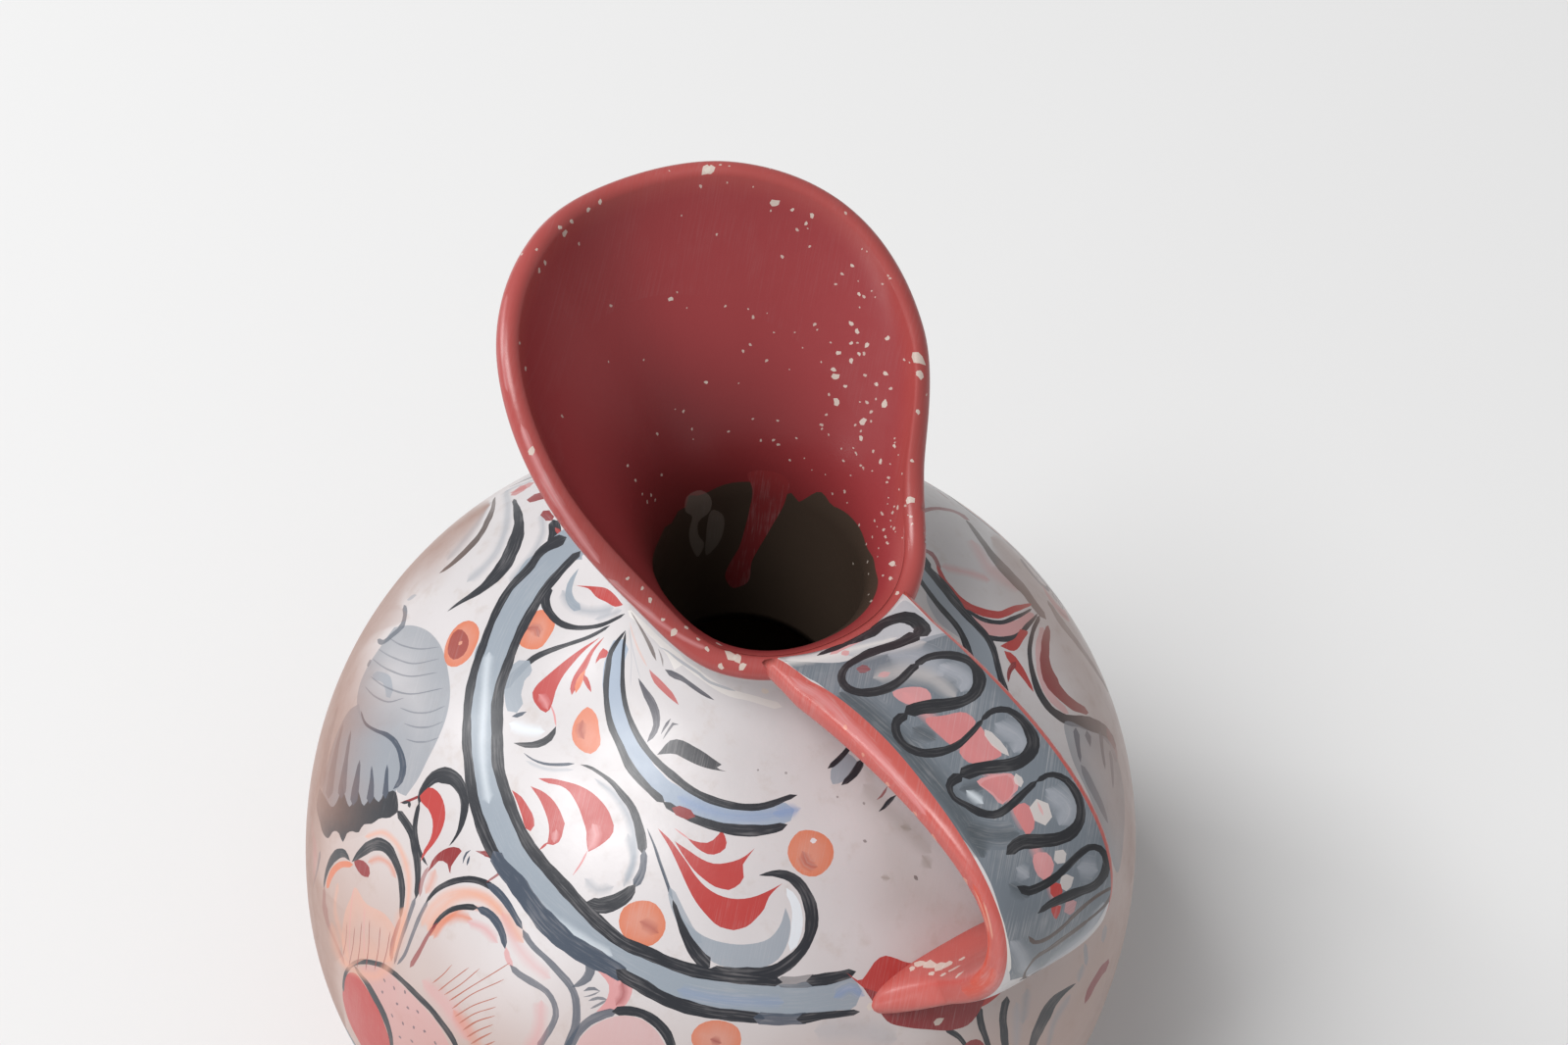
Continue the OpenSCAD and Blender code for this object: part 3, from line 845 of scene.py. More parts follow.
# The pale soft stroke at the scroll's head is the leaf's light tone with a painted highlight over it.
SCROLL_LEAVES = """
orange * .95 .8/3: 545,624 555,622 563,630 566,637 560,650 551,661 538,662 529,656 532,642 540,632
rust 14 .6 soft: 536,642 546,640 550,650
black 11,9,7,5,4,3: 560,598 556,612 562,627 572,636 585,640 600,640 615,637 628,631 637,626
slate 1,7,9,9: 590,580 582,594 580,607 585,617 592,622
shade 10 .5 soft: 606,632 622,627 634,622
shade 16 .6 soft: 573,602 584,618 604,624 626,620
pale 16 .9 soft: 519,738 535,744 556,746
shade 12 .6 soft: 640,850 646,880 636,905
red *: 587,597 603,598 618,600 628,608 635,617 | 628,619 618,614 608,609 601,601
black 3,4,5,7,9: 622,638 600,650 580,657 560,664 545,671 532,682 520,694 512,704
slate 18,20,16 .9: 540,674 527,690 523,708 527,727
ink 3,5,2: 522,731 530,729 537,726
rose 1,2,2: 560,716 565,728 567,741
black 3,7,7,6,1: 567,741 562,751 554,757 542,760 524,758
red *: 612,650 597,659 580,671 564,684 549,697 | 543,706 544,714 551,724 | 558,727 563,718 567,704 \
574,690 584,677 598,662
rose 12 .8 soft: 549,708 556,716 559,724
red 1,3,6,7,5: 616,650 604,664 596,679 587,693 583,709
orange 3,6,5: 597,683 590,697 587,707
red 5,5,2: 595,688 599,697 603,706
red *: 615,661 622,669 612,672 607,677 610,668
orange * .95 .85/3: 599,721 608,729 611,745 612,760 603,769 592,765 584,755 584,741 590,729
rust 12 .6 soft: 594,734 592,746 596,754
ink 1,3,3: 534,768 542,774 555,779 570,780 586,779
slate 6 .5 soft: 536,776 555,784 585,785
slate 4,14,14,10 .7 soft: 606,794 628,812 644,842 647,872 638,900
black 2,4,6,8,10,9: 592,780 600,782 612,789 624,798 634,810 644,823 650,838 654,855 656,872
ink 7,8,10: 657,866 655,888 646,906
black 8,14,16,16,14: 648,902 640,912 625,921 610,924 598,920
shade 14 .5 soft: 596,896 610,908 626,904
red *: 549,794 562,794 576,797 590,801 603,808 613,817 621,828 626,842 | 625,850 618,858 608,865 600,869 \
| 598,858 598,848 595,838 591,826 586,816 579,806 570,801 559,799
rose 16 .85 soft: 604,840 608,852 600,868
rose 2,2,1: 599,868 593,880 584,893
red *: 541,802 553,807 563,815 571,827 576,840 | 574,848 571,858 565,862 558,861 | 560,850 559,838 \
555,826 550,815
rose 9 .8 soft: 567,846 565,860
red 3,2: 559,859 550,867
red *: 522,806 531,812 538,822 544,833 545,842 541,848 | 536,845 533,835 528,820
rust 1,3,2 .8: 529,849 520,855 512,862
rust 6,8,6 .85: 490,869 503,873 512,880 515,888
rust 3,2 .8: 512,889 505,894 496,900
orange * .95 .8/3: 636,926 650,919 667,921 676,932 679,945 674,957 663,965 648,964 637,956 631,942
rust 16 .5 soft: 652,940 664,946 672,952
ink 1,3,3,4: 660,845 667,862 673,880 680,900 686,918
slate 8,12,12 .8: 683,905 692,930 703,950 716,962
slate * .9: 690,925 700,941 718,955 740,962 765,963 785,957 795,945 801,926 | 806,940 803,962 794,978 \
775,988 755,989 735,985 716,974 700,955
pale 6,12,8 .9: 802,906 811,922 812,950 806,970
black 4,6,9,14,18: 686,918 694,942 702,960 712,975 724,987
black 2,8,12,13,13,11,12,15,18,18,14: 774,893 790,891 805,894 816,903 824,917 828,935 826,952 819,967 \
807,980 792,990 765,996 740,995 722,989
red *: 671,845 683,865 692,884 701,904 709,919 720,933 733,945 748,949 | 762,945 772,936 780,926 783,917 \
790,908 798,901 | 783,909 768,915 750,917 733,913 720,905 709,893 700,879 692,868 683,856
red *: 688,858 699,876 708,888 718,897 730,905 743,908 | 753,903 759,893 757,884 763,874 770,865 | \
757,875 742,880 728,881 715,876 703,868
red *: 701,855 712,859 724,859 732,852 | 736,847 740,855 741,863 734,870 725,872 712,866
rose 1,2: 688,845 703,856
orange * .95 .8/3: 815,848 828,847 841,852 849,862 850,874 844,886 832,894 818,892 808,883 803,868 808,855
rust 18 .5 soft: 818,868 824,882 834,884
pale 7,5 .8: 826,858 833,857
"""
NECK_MARKS = """
white 7 .85: 640,623 650,632 662,643 680,660 700,677 720,693 740,705 765,712 798,721
mist 1,3,3,2 .8: 671,660 680,664 690,672 700,679 712,687 722,695 735,700 750,705
grey 4,7,4,5,4,2: 678,683 686,688 695,692 705,699 715,706 728,714
red 1,6,8,6,1 .8: 662,683 667,691 675,700 683,708 692,719
brown 1,2,3,4,3 .8: 643,624 650,636 657,648 664,661 669,674
brown 1,2,2 .6: 671,662 675,672 676,680
mist 1,1,1 .5: 641,640 647,670 653,692
mist 1,1,1 .4: 642,640 644,670 643,700
peach 1,2,2 .35: 642,635 648,655 660,680
grey 2,5,8,9,8,6,3: 651,692 658,706 665,718 669,730 669,742 665,750 660,757
grey 3,2.5,1: 684,733 679,740 674,749
grey 3,3,2,1: 692,739 687,738 683,743 676,754
black * .95: 670,770 676,763 682,756 690,754 698,756 707,761 716,766 726,773 736,780 | 731,783 741,787 | \
722,784 708,779 698,774 688,769 679,769
"""
TOP_LEAVES = """
shade 14 .55 soft: 517,500 518,520 514,545 505,565 492,580 476,594
black 4,6,9,11,14,17,17,13,8,4,1: 524,509 527,520 529,535 526,550 520,565 513,578 503,590 492,600 \
480,608 470,614 456,624
shade 16 .5 soft: 500,512 486,535 470,555 456,572
brown 2,4,6,8,8,7,5,2: 505,507 502,520 497,532 490,545 480,557 470,567 460,576 448,585
shade 12 .5 soft: 553,523 553,545 545,562 535,575 520,594
black 10,14,14,8: 564,530 566,542 564,554 556,562
red 5 .7: 520,503 530,499 545,492
rust 10: 537,510 548,507 556,503
rust 10: 554,521 563,531
red 5 .8: 566,538 575,548
orange * .95 .8/3: 478,633 486,637 489,646 485,660 478,672 466,680 457,679 453,670 455,656 461,644 469,636
rust * .8: 467,642 475,646 478,657 473,668 464,673 457,667 458,655 462,646
peach 5 .8: 468,655 471,657
"""
BIRD = """
wash * .75 .35/16: 402,640 420,638 438,645 450,660 457,685 459,710 455,732 446,755 436,775 426,795 \
414,812 | 404,806 410,786 408,765 398,751 383,744 370,736 364,715 368,695 376,678 388,660
wash * .9: 366,718 372,737 384,745 397,751 405,760 410,775 410,790 404,806 | 400,822 360,832 335,830 \
329,805 335,775 345,745 356,725
shade 10 .7: 380,688 395,695 398,712
ink 1,2,1 .5: 372,700 385,712 398,716 412,712
ink 1,2,1 .5: 380,672 398,684 420,690 446,686
ink 1,2,1 .45: 386,662 404,672 424,677 448,672
ink 1,2,1 .45: 396,650 412,659 430,662 448,660
ink 1,2,1 .5: 378,690 396,702 420,708 452,702
ink 1,2,1 .45: 408,722 424,727 440,726 454,720
ink 1,2,1 .45: 412,738 426,742 440,741 452,736
ink 1,2,1 .45: 414,754 426,757 438,756 448,752
ink 5,6,6,5 .8: 412,617 413,628 409,640 400,648 391,655 385,652
ink 6,5 .7: 377,673 376,680
shade 6 .6: 425,607 415,612
ink 2,3,4,6,7,5: 368,725 372,737 383,745 395,750 403,757 409,770 411,785 408,797 401,805
black *: 326,803 331,812 341,822 346,812 349,796 | 352,812 357,823 362,812 364,798 | 367,812 371,822 \
376,815 378,800 | 381,812 387,818 391,810 394,796 | 397,808 402,806 406,818 406,828 | 398,834 387,835 \
380,840 370,842 366,849 359,848 354,850 350,859 345,849 340,848 335,855 330,851 326,838 323,820
ink 2,5,7: 395,780 394,795 393,815
ink 2,5,8: 379,781 379,798 377,820
ink 2,6,9: 367,775 364,795 360,822
ink 2,5,9 .9: 358,745 353,775 348,815
ink 2,5,9 .8: 350,738 342,770 335,815
ink 3,6,8 .6: 345,720 334,760 328,805
rose 12 .7 soft: 318,835 321,870 320,900
ink 5,4,3 .6: 327,868 324,885 319,906
rust 2,3,3: 408,819 419,816 430,811
black 4,2: 409,819 419,818
black 4,3: 417,818 418,824
black 3,6,9,13,16,16,14,10,8,7,5,3,1: 427,821 430,808 436,799 444,792 455,791 465,796 471,806 474,820 \
472,835 468,848 462,858 458,863
black 4,5,5,5,4,2: 428,818 425,830 423,845 425,860 431,875 436,883
red *: 428,812 438,803 447,808 453,820 454,834 450,848 443,860 434,871 429,879 | 432,868 438,858 441,848 \
441,836 437,826 429,817
"""
PETALS = """
peach * .5 .2/8: 352,930 358,915 362,905 372,920 395,935 402,945 400,978 375,978 352,984
peach 8 .5 soft: 345,900 342,930 350,960 356,980
peach 9,10,9,6 .7 soft: 372,854 393,850 408,866 416,890 416,920 410,945 402,972
orange 7,8,5 .9: 333,906 339,890 348,882 360,882
orange 10 .6 soft: 375,880 388,876 399,884 404,896
rust *: 361,879 372,879 377,886 377,893 369,893
black 3,5,8,12,9,2: 330,906 333,890 338,878 345,871 352,871 357,878
black 2,8,12,14,12,9,7,6,5,3: 359,879 368,870 376,864 387,861 397,867 403,878 408,892 410,905 410,920 \
408,938
rust 5,6,5,4,4 .6: 331,905 331,925 334,940 341,958 348,975 352,985
rust 3,5,5,4 .75: 409,935 404,950 400,965 399,981
rose 2,3 .6 soft: 361,905 357,975
rose 3 .5 soft: 372,925 372,976
black 7,9,9,8,7,6,4: 405,827 413,838 420,850 424,868 426,885 426,900 424,917
ink 5,4,3 .8: 424,915 416,938 409,958 402,984
ink 4,4,3 .75: 437,918 428,935 420,955 412,975 405,984
rust 4 .6: 437,884 430,900 428,915
rust *: 436,890 442,876 452,867 464,864 471,867 465,876 460,884 | 459,892 456,881 448,878 442,884
orange 14 .5 soft: 444,886 440,900 434,912
ink 2,2: 472,881 475,871 480,867
ink 2,2: 476,883 479,873
rust 2,4,4 .8: 485,868 495,871 506,877
peach 22 .7 soft: 436,950 450,928 470,914 495,916 516,936 534,962
orange 8 .6 soft: 442,958 456,938 474,926 496,930 512,946
peach 20 .6 soft: 338,940 346,975 362,990 390,992 404,965 412,925
rust 1.5,1,1 .7: 356,985 360,965 362,945
rust 1.5,1,1 .7: 364,988 367,965 369,940
rust 1.5,1,1 .7: 373,990 376,965 377,938
rust 1.5,1,1 .7: 382,990 386,968 388,945
rust 1.5,1,1 .7: 390,988 395,968 398,950
rust 1.5,1,1 .6: 350,975 353,958 354,940
peach 14 .55 soft: 430,945 440,925 455,912 478,909 498,918 513,934
rose 18 .4 soft: 512,930 522,955 545,985 562,998
black 3,5,6,7,7,7: 434,921 445,908 455,902 467,898 481,897 495,901 505,907
ink 7,8,7,6: 496,901 503,906 513,916 520,926 527,938 533,948
ink 6,6,7,8,8,7 .85: 533,948 538,958 545,967 555,976 563,984 572,994 580,1003 586,1015 588,1030 587,1045 \
582,1058 576,1072
orange 14,18,14 .75 soft: 438,955 450,940 468,934 482,938
rose 14 .6 soft: 476,940 495,948 508,962
black 3,4,5,6,6,6: 440,948 450,935 460,928 475,925 488,926
ink 6,9,9,7,4: 486,926 500,933 508,943 513,955 515,968
rose 6 .7: 516,966 518,978 523,987
ink 6,7,6,6,7,7 .8: 520,984 526,991 536,998 548,1005 557,1011 564,1021 567,1034 563,1046 557,1056 548,1070
rust 5,5,4,3 .8: 418,987 428,970 436,955 446,941
rose 20,24 .5 soft: 552,1020 550,1050 535,1080
rose 24,30 .5 soft: 430,1000 455,1025 480,1062
orange 20 .45 soft: 462,1030 480,1055 492,1080
hatch 1.5,1,1: 441,1003 452,994 461,984
hatch 1.5,1,1: 447,1011 462,999 478,987
hatch 1.5,1,1: 453,1015 470,1004 489,988
hatch 1.5,1,1: 458,1021 478,1008 520,982
hatch 1.5,1,1: 461,1029 480,1015 514,999
hatch 1.5,1,1: 464,1037 482,1026 507,1017
hatch 1.5,1,1: 468,1044 484,1034 506,1027
hatch 2,1.5,1: 472,1051 486,1042 505,1036
hatch 2,1.5,1: 476,1058 488,1051 503,1045
hatch 2,2,1: 480,1065 490,1059 502,1053
hatch 2,2,1: 484,1073 494,1067 505,1062
ink 10,12,11,9,3 .85: 566,965 580,963 594,971 602,982 601,994 592,1003 583,1007
ink 3,4,2 .8: 595,1011 604,1008 612,1011
ink 2,2,1 .7: 612,1011 604,1015 595,1017
ink 3,3 .7: 600,1021 611,1018 620,1020
ink 2,3 .7: 602,1029 612,1024 619,1020
rose * .9: 603,984 622,983 637,990 645,1003 643,1017 636,1027 622,1030 608,1032 | 619,1019 621,1005 \
612,993
rust 12 .6 soft: 634,1000 636,1014 628,1026
"""
LEAF = """
rose * .45: 366,986 380,985 395,991 410,1005 430,1025 447,1045 463,1075 | 403,1075 398,1050 391,1030 \
383,1015 374,1000
red *: 351,1000 357,992 364,994 370,1002 378,1015 386,1030 392,1045 397,1060 400,1078 | 380,1085 \
366,1062 356,1042 350,1020
black 4,5,6,6,5: 350,1012 351,998 357,986 367,981 380,982 392,986 402,993 415,1005 428,1018 440,1030 \
450,1043 460,1057 470,1078
black 4,6,6,6,5: 361,985 367,994 374,1003 382,1017 390,1032 396,1048 401,1075
grey o .7: 392,1000,1.6 402,1008,1.6 413,1012,1.6 390,1012,1.6 405,1024,1.6 416,1028,1.6 426,1032,1.6 \
400,1036,1.6 411,1044,1.6 422,1048,1.6 433,1052,1.6 408,1058,1.6 420,1062,1.6 444,1064,1.6 432,1070,1.6
"""
RING_FLOWER = """
rose * .45: 588,1066 600,1050 615,1041 635,1036 655,1040 668,1050 676,1062 684,1090 600,1100
ink 9,9,9,9 .85: 572,1085 584,1062 592,1050 602,1041 615,1035 630,1031
black 9,10,10,10: 624,1032 640,1031 655,1034 667,1041 678,1052 687,1072
orange * .9 .7/3: 705,1056 712,1046 725,1041 740,1042 752,1048 756,1060 752,1072 735,1080 715,1076
rust 14 .7 soft: 724,1060 736,1064
mist 40 .35 soft: 830,1052 870,1050 915,1060
"""
# The rust fill under the foot is the red paint there, darkened as a painted shadow of the foot.
FOOT = """
red *: 863,992 878,1000 886,990 893,980 901,975 912,977 922,981 960,981 985,980 | 1003,945 1030,1000 \
1010,1022 960,1030 910,1022 884,1010
rust *: 880,1007 895,1012 960,1020 1005,1018 | 996,1036 988,1045 975,1050 945,1050 925,1048 905,1042 \
896,1030
chip o .8: 957,1042,4 889,1027,4
"""
# Under the handle: the soft fill and the wide stroke are real dirt and a painted shadow of the handle; the
# small spots and brown marks are dirt.
GRIP_DIRT_AND_SHADOW = """
dirt * 0 .32/16: 800,742 850,745 890,785 930,815 965,850 990,885 1005,935 990,970 940,975 900,970 \
868,940 862,900 858,860 840,820 815,790
dirt 30 .3 soft: 880,800 910,830 950,870
dirt 10 .5 soft: 918,843 930,846
dirt 16 .5 soft: 940,872 950,886
dirt 8 .6 soft: 898,895 908,896
brown 3,4,2 .7: 932,893 936,898
brown 3,3 .6: 880,857 884,859
brown 2,3 .6: 772,785 774,786
brown 2,3 .5: 800,788 803,789
brown 2,2 .5: 905,815 906,818
brown 2,3 .5: 853,812 855,814
brown 2,3 .5: 880,818 882,821
slate * .9: 864,768 875,778 860,797 849,800 847,787
black 5,6,5: 868,760 856,774 844,784
black 9,8,4: 880,774 871,789 858,801
rust 2,3,1 .8: 905,802 899,812 894,816
black 1,5,4,1: 914,811 906,818 902,823 896,828
"""
RIGHT_PETALS = """
mist * .8: 946,590 962,600 980,628 1000,660 1014,680 | 1003,677 980,652 955,632 946,615
rose 24 .4 soft: 990,550 1010,580 1040,602
rose 14 .5 soft: 960,578 990,585 1010,592
rust 5 .8: 938,518 960,519 978,524 989,531
brown 5,8,10,10,8,6 .85: 985,530 1000,550 1015,570 1030,587 1045,603 1055,617 1067,632
rust 4,5 .8: 941,530 944,548 951,566 959,582
rose 14,14,10 .8: 990,630 1008,641 1022,643 1036,639 1054,626
red 4,7,8,9,8,6,3: 955,576 965,596 978,612 995,622 1015,627 1035,621 1052,616
black 3,5,5,4,2: 984,621 1000,631 1018,635 1035,630 1052,621
black 3,6,6,5,2: 985,633 1003,648 1020,652 1035,650 1048,638 1058,626
black 5,9,11,14,12,9,6: 945,580 958,592 970,608 980,625 990,642 1000,658 1009,671 1018,684
red *: 1020,659 1031,664 1044,652 1048,644 1040,642 | 1034,652 1027,655
red 5,8,7,5,2: 1024,664 1032,672 1038,680 1046,692 1054,706
rust 7,5,3: 1036,675 1029,686 1028,696
rose 10,10,8 .6: 1064,640 1060,665 1063,690 1073,712 1090,728
rust 6,10,13,14,12,8: 1069,638 1066,660 1067,680 1074,698 1087,713 1110,727
black 4,5,5,6,7,10,14,16,18,14: 1060,628 1053,645 1050,668 1054,690 1060,707 1070,722 1085,733 1100,736 \
1120,742 1138,760
brown 5,8,9,9 .85: 1068,612 1082,634 1098,655 1114,678 1132,705
rust 6,8,5 .7: 1128,742 1136,765 1138,778
wash * .7 .4/10: 1085,738 1110,745 1135,762 1145,800 1146,850 1140,890 1128,860 1112,815 1092,770
ink 8,5,3 .8: 1097,742 1099,760 1102,778
ink 8,5,2 .8: 1108,745 1112,762
ink 8,5,3,2 .8: 1122,745 1124,765 1127,785
ink 5,4,2 .7: 1132,765 1134,785 1135,805
ink 5,10,8,3 .6: 1102,780 1112,800 1122,820 1130,840
rust 12,15,9,3: 1131,982 1121,994 1112,1010 1106,1024
mist 16 .5 soft: 1036,1022 1036,1070
shade 14 .5 soft: 1047,1008 1043,1045
shade 12 .5 soft: 1092,1014 1076,1040 1068,1070
shade 12 .6 soft: 1104,983 1100,1002
shade 6 .6: 1106,962 1108,985
shade 6 .5: 1127,943 1125,962
black 8,9,9,8: 1027,1016 1023,1035 1024,1055 1026,1075
black 2,6,11,12,10,8: 1097,1003 1084,1013 1073,1024 1064,1040 1057,1055 1050,1075
black 8,7,6: 998,1026 1000,1043 1005,1058 1010,1074
black 5,6,4: 963,1049 977,1057 986,1068
rust *: 982,1075 985,1064 996,1060 1004,1066 1006,1078
"""
# The long narrow white stroke along the strap's left edge is a painted highlight on its rounded edge.
HANDLE = """
strap * 1: 800,674 815,686 829,694 850,710 884,744 912,778 953,828 987,862 1008,896 1020,930 1027,965 \
1030,1000 | 1060,995 1100,960 1136,915 | 1136,890 1122,838 1102,798 1085,773 1065,748 1045,724 1025,703 \
1005,682 985,660 965,640 | 952,648 930,655 900,662 850,676
mist * .6: 846,666 880,640 905,618 920,611 945,630 968,644 | 952,652 900,668
dusk 44 .8 soft: 856,706 884,728 915,755 950,795 985,842 1004,875
dusk 30 .6 soft: 985,845 1015,852 1040,850
dusk 26 .7 soft: 930,742 955,755
dusk 24 .7 soft: 978,806 1005,800
dusk 22 .6 soft: 1028,902 1050,915
mist 44 .7 soft: 905,668 940,672 962,690
mist 34 .8 soft: 958,678 985,695 980,706
mist 40 .7 soft: 1014,738 1040,758 1034,768
mist 38 .7 soft: 1066,805 1088,826 1080,842
mist 34 .6 soft: 1098,885 1120,888
mist 26 .7 soft: 1036,885 1050,895
mist 26 .8 soft: 1030,960 1070,990 1100,960 1125,920
pale 14 .7 soft: 985,806 1003,820
white 10,12,9,5 .7 soft: 799,676 830,672 870,662 915,650
cream 16,18,18 .5 soft: 868,672 910,660 945,655
cream 30,30,20 .5 soft: 890,692 925,685 950,692 975,712
rose 18,20,20,18,14 .75 soft: 920,706 955,738 995,772 1028,812 1048,850
rose 16,14,10 .75 soft: 1052,858 1068,895 1080,932
rose 5,6,3 .8: 846,668 870,655 890,648
rose 8,6 .8: 858,668 866,664
rust 9,7 .7: 873,682 888,683
rose 6,6 .6: 895,690 908,686
rose * .85: 910,706 925,701 945,703 950,712 938,719 924,718
rose * .9 + red * .35: 944,733 962,730 985,727 995,736 984,750 972,761 960,752
rose * .9 + red * .3: 1000,741 1008,755 1022,770 1010,776 988,778 978,766 986,756
cream 8,9,5 .8: 1004,744 1014,756 1029,771
rose * .9: 996,797 1012,791 1033,790 1039,803 1030,813 1021,821 1012,811
red * .3: 1000,800 1014,793 1030,792 1034,803 1022,818 1012,808
cream 9,9 .8: 1036,789 1041,803
rose * .9 + red * .35: 1033,824 1045,819 1054,846 1048,852 1040,840
cream 22,20 .85: 1057,815 1066,842
rose 3,3 .6: 1058,818 1064,832
cream 14,14 .8: 1076,868 1086,880
rose * .9: 1054,872 1068,870 1075,884 1066,898 1059,894
cream 18,14 .8: 1080,905 1095,895
red *: 1071,904 1080,900 1083,913 1073,915
rose 16,14 .6: 1085,930 1098,920
red *: 1072,925 1082,924 1077,938
white 5,6,6,6,6,6,5,5,5,4,4: 792,678 818,694 843,712 868,737 892,763 918,793 945,826 975,862 1000,895 \
1018,932 1027,965 1029,992
line 3,6,6,8,9,10,14,17,16: 833,669 850,661 868,650 890,640 908,632 925,630 936,635 941,643 934,650
line 14,9,8,8,9,10,9: 938,646 915,657 895,663 875,672 862,681 858,692 863,701 875,706 890,706 905,702 \
918,694 928,684 937,676
line 8,8,8,10,13,13,12,13,15,14: 932,680 945,671 960,668 975,669 990,675 998,687 998,700 990,711 975,717 \
955,720 935,723 922,728
line 13,9,8,9,9,8,6,5: 926,727 914,737 915,750 925,762 940,768 958,767 975,761 990,748 1003,733
line 5,6,7,9,12,15,14,13,14,15,14: 1000,736 1013,725 1027,724 1040,732 1050,745 1054,758 1048,771 \
1035,779 1015,782 995,785 978,792
line 14,10,5,6,8,9,9,8,7,6: 982,789 968,802 973,814 985,821 1000,829 1015,831 1030,822 1045,808 1058,796
line 6,6,7,9,10,12,14,15,14,10: 1056,798 1072,790 1085,794 1096,806 1102,822 1101,838 1092,850 1078,856 \
1058,858 1040,860 1026,872
line 10,9,9,8,7,7,8,9,10,11,9,5: 1037,904 1048,909 1060,905 1075,896 1088,884 1100,872 1112,864 1122,866 \
1128,876 1127,890 1118,902 1100,910 1080,918 1068,924 1058,932
brown 4,5,3,4,4,3,3: 1049,955 1054,961 1067,958 1082,947 1097,932 1112,919 1125,910 1134,906 1133,918 \
1120,930 1105,942
brown 4,5,4,3,5,4: 1112,937 1088,955 1070,968 1055,978 1047,989 1053,994 1067,992
brown 4,3: 1039,1001 1048,995
"""
HANDLE_SIDES = """
side *: @0,-5 | 21.4,-5 | 24.2,12 24.6,30 23.4,50 22,75 21.6,100 22,140 22,170 21,200 | 0,200
side *: @72,-5 | 50.6,-5 | 50.2,30 50,60 50,100 50,140 50,200 | 72,200
ember 3 .8 soft: @19,70 17,85 16,100 17,130
ember 4 .7 soft: @19,100 18.5,120 18,140
peach 0.6,0.8,0.5 .7: @19.4,76 18.6,82 18,90
peach 0.5,0.6,0.4 .5: @18.2,72 17.4,80 17,88
chip 2,2.4,2 .9: @14,-3 16,0 15,3
chip o .8: 912,982,3 925,981,4 938,983,5 948,984,6 958,986,6 966,984,5 973,988,5 978,994,4 962,994,3 \
950,993,3 930,988,3 981,978,3 905,984,2
rose 10,16,18,14,8 .55 soft: 806,690 838,712 868,742 905,782 945,832
peach o .6: 880,770,2 905,800,2.5 930,832,2 862,742,2 950,860,3 985,905,3
"""


SPECKS, SPECK_SEED, SPECK_SOLID = 150, 5, 0.65
SPECK_AZIMUTH, SPECK_SPREAD, SPECK_SIZES = -60, 45, (0.15, 0.42)
ABOVE_NECK, BELOW_LIP = 8, 3  # mm that the specks stay clear of the neck and the lip
LIP_DOWN, LIP_WAVER, LIP_POINTS = 3.2, 0.6, 360  # mm, mm
LIP_WAVES = ((0.5, 7, 1), (0.3, 17, 0), (0.2, 31, 0))  # share of the waver, waves in a turn, shift


def put_specks():
    """Tiny chips in the spout, most of them on its right wall."""
    rng = np.random.default_rng(SPECK_SEED)
    azimuths = rng.normal(SPECK_AZIMUTH, SPECK_SPREAD, SPECKS)
    runs = rng.uniform(RUN_NECK_INSIDE + ABOVE_NECK, RUN_LIP - BELOW_LIP, SPECKS)
    for az, run, size in zip(azimuths, runs, rng.uniform(*SPECK_SIZES, SPECKS)):
        chip(POT, "chip", SPECK_SOLID, np.array([radians(az), run]), size)


def put_lip():
    """The lip's lighter red, worn in places, over the rim and a little way down the outside."""
    turn = np.linspace(0, tau, LIP_POINTS + 1)[:-1]
    wave = sum(share * np.sin(turn * rate + shift) for share, rate, shift in LIP_WAVES)
    fill(POT, "lip", "", row=np.stack([turn, RUN_LIP + LIP_DOWN + LIP_WAVER * wave], -1))


for motif in (LEAF, PETALS, BIRD, TOP_LEAVES):
    draw(POT, motif, flip=True, turn=HIDDEN_TURN)
for motif in (LEAF, PETALS, BIRD, TOP_LEAVES, RIGHT_PETALS, RING_FLOWER, RING_BEHIND, SCROLL_LEAVES,
              GREAT_RING, SMALL_RING, NECK_MARKS, GRIP_DIRT_AND_SHADOW, FOOT):
    draw(POT, motif)
for paint, width, run, gap, last in LOW_BANDS:
    stroke(POT, paint, [width], "@" + " ".join(f"{turn},{run}" for turn in (*range(0, 360, gap), last)))
for turn in range(0, 360, 30):
    draw(POT, LOW_LEAF, turn=turn)
for turn in (-90, -60, -30, 0, 25, 122, 150, 178):
    draw(POT, BELLY_CURL, turn=turn)
draw(POT, SIDE_REFLECTION_SHADE)
put_lip()
draw(POT, THROAT)
put_specks()
draw(STRAP, HANDLE)
draw(STRAP, HANDLE_SIDES)


# materials
class Nodes:
    """Short hands for building a node tree."""

    def __init__(self, name):
        self.material = bpy.data.materials.new(name)
        self.material.use_nodes = True
        self.tree = self.material.node_tree
        self.shader = self.tree.nodes["Principled BSDF"]

    def outputs(self, kind, inputs=(), **settings):
        node = self.tree.nodes.new("ShaderNode" + kind)
        for key, value in settings.items():
            setattr(node, key, value)
        for key, value in dict(inputs).items():
            self.put(node.inputs[key], value)
        return node.outputs

    def add(self, kind, inputs=(), out=0, **settings):
        return self.outputs(kind, inputs, **settings)[out]

    def put(self, socket, value):
        if isinstance(value, bpy.types.NodeSocket):
            self.tree.links.new(value, socket)
        else:
            socket.default_value = value

    def math(self, what, a, b, clamp=False):
        return self.add("Math", {0: a, 1: b}, operation=what, use_clamp=clamp)

    def blend(self, share, a, b):
        return self.add("Mix", {0: share, 6: a, 7: b}, 2, data_type="RGBA")

    def noise(self, vector, scale, detail, rough=0.5):
        inputs = {"Vector": vector, "Scale": scale, "Detail": detail, "Roughness": rough}
        return self.add("TexNoise", inputs)

    def step(self, value, low, high):
        inputs = {0: value, 1: low, 2: high, 3: 0.0, 4: 1.0}
        return self.add("MapRange", inputs, interpolation_type="SMOOTHSTEP")

    def centred(self, value, size):
        """A noise's value about zero, times a size."""
        return self.math("MULTIPLY", self.math("SUBTRACT", value, 0.5), size)


def rgba(code):
    return (*linear(code), 1.0)
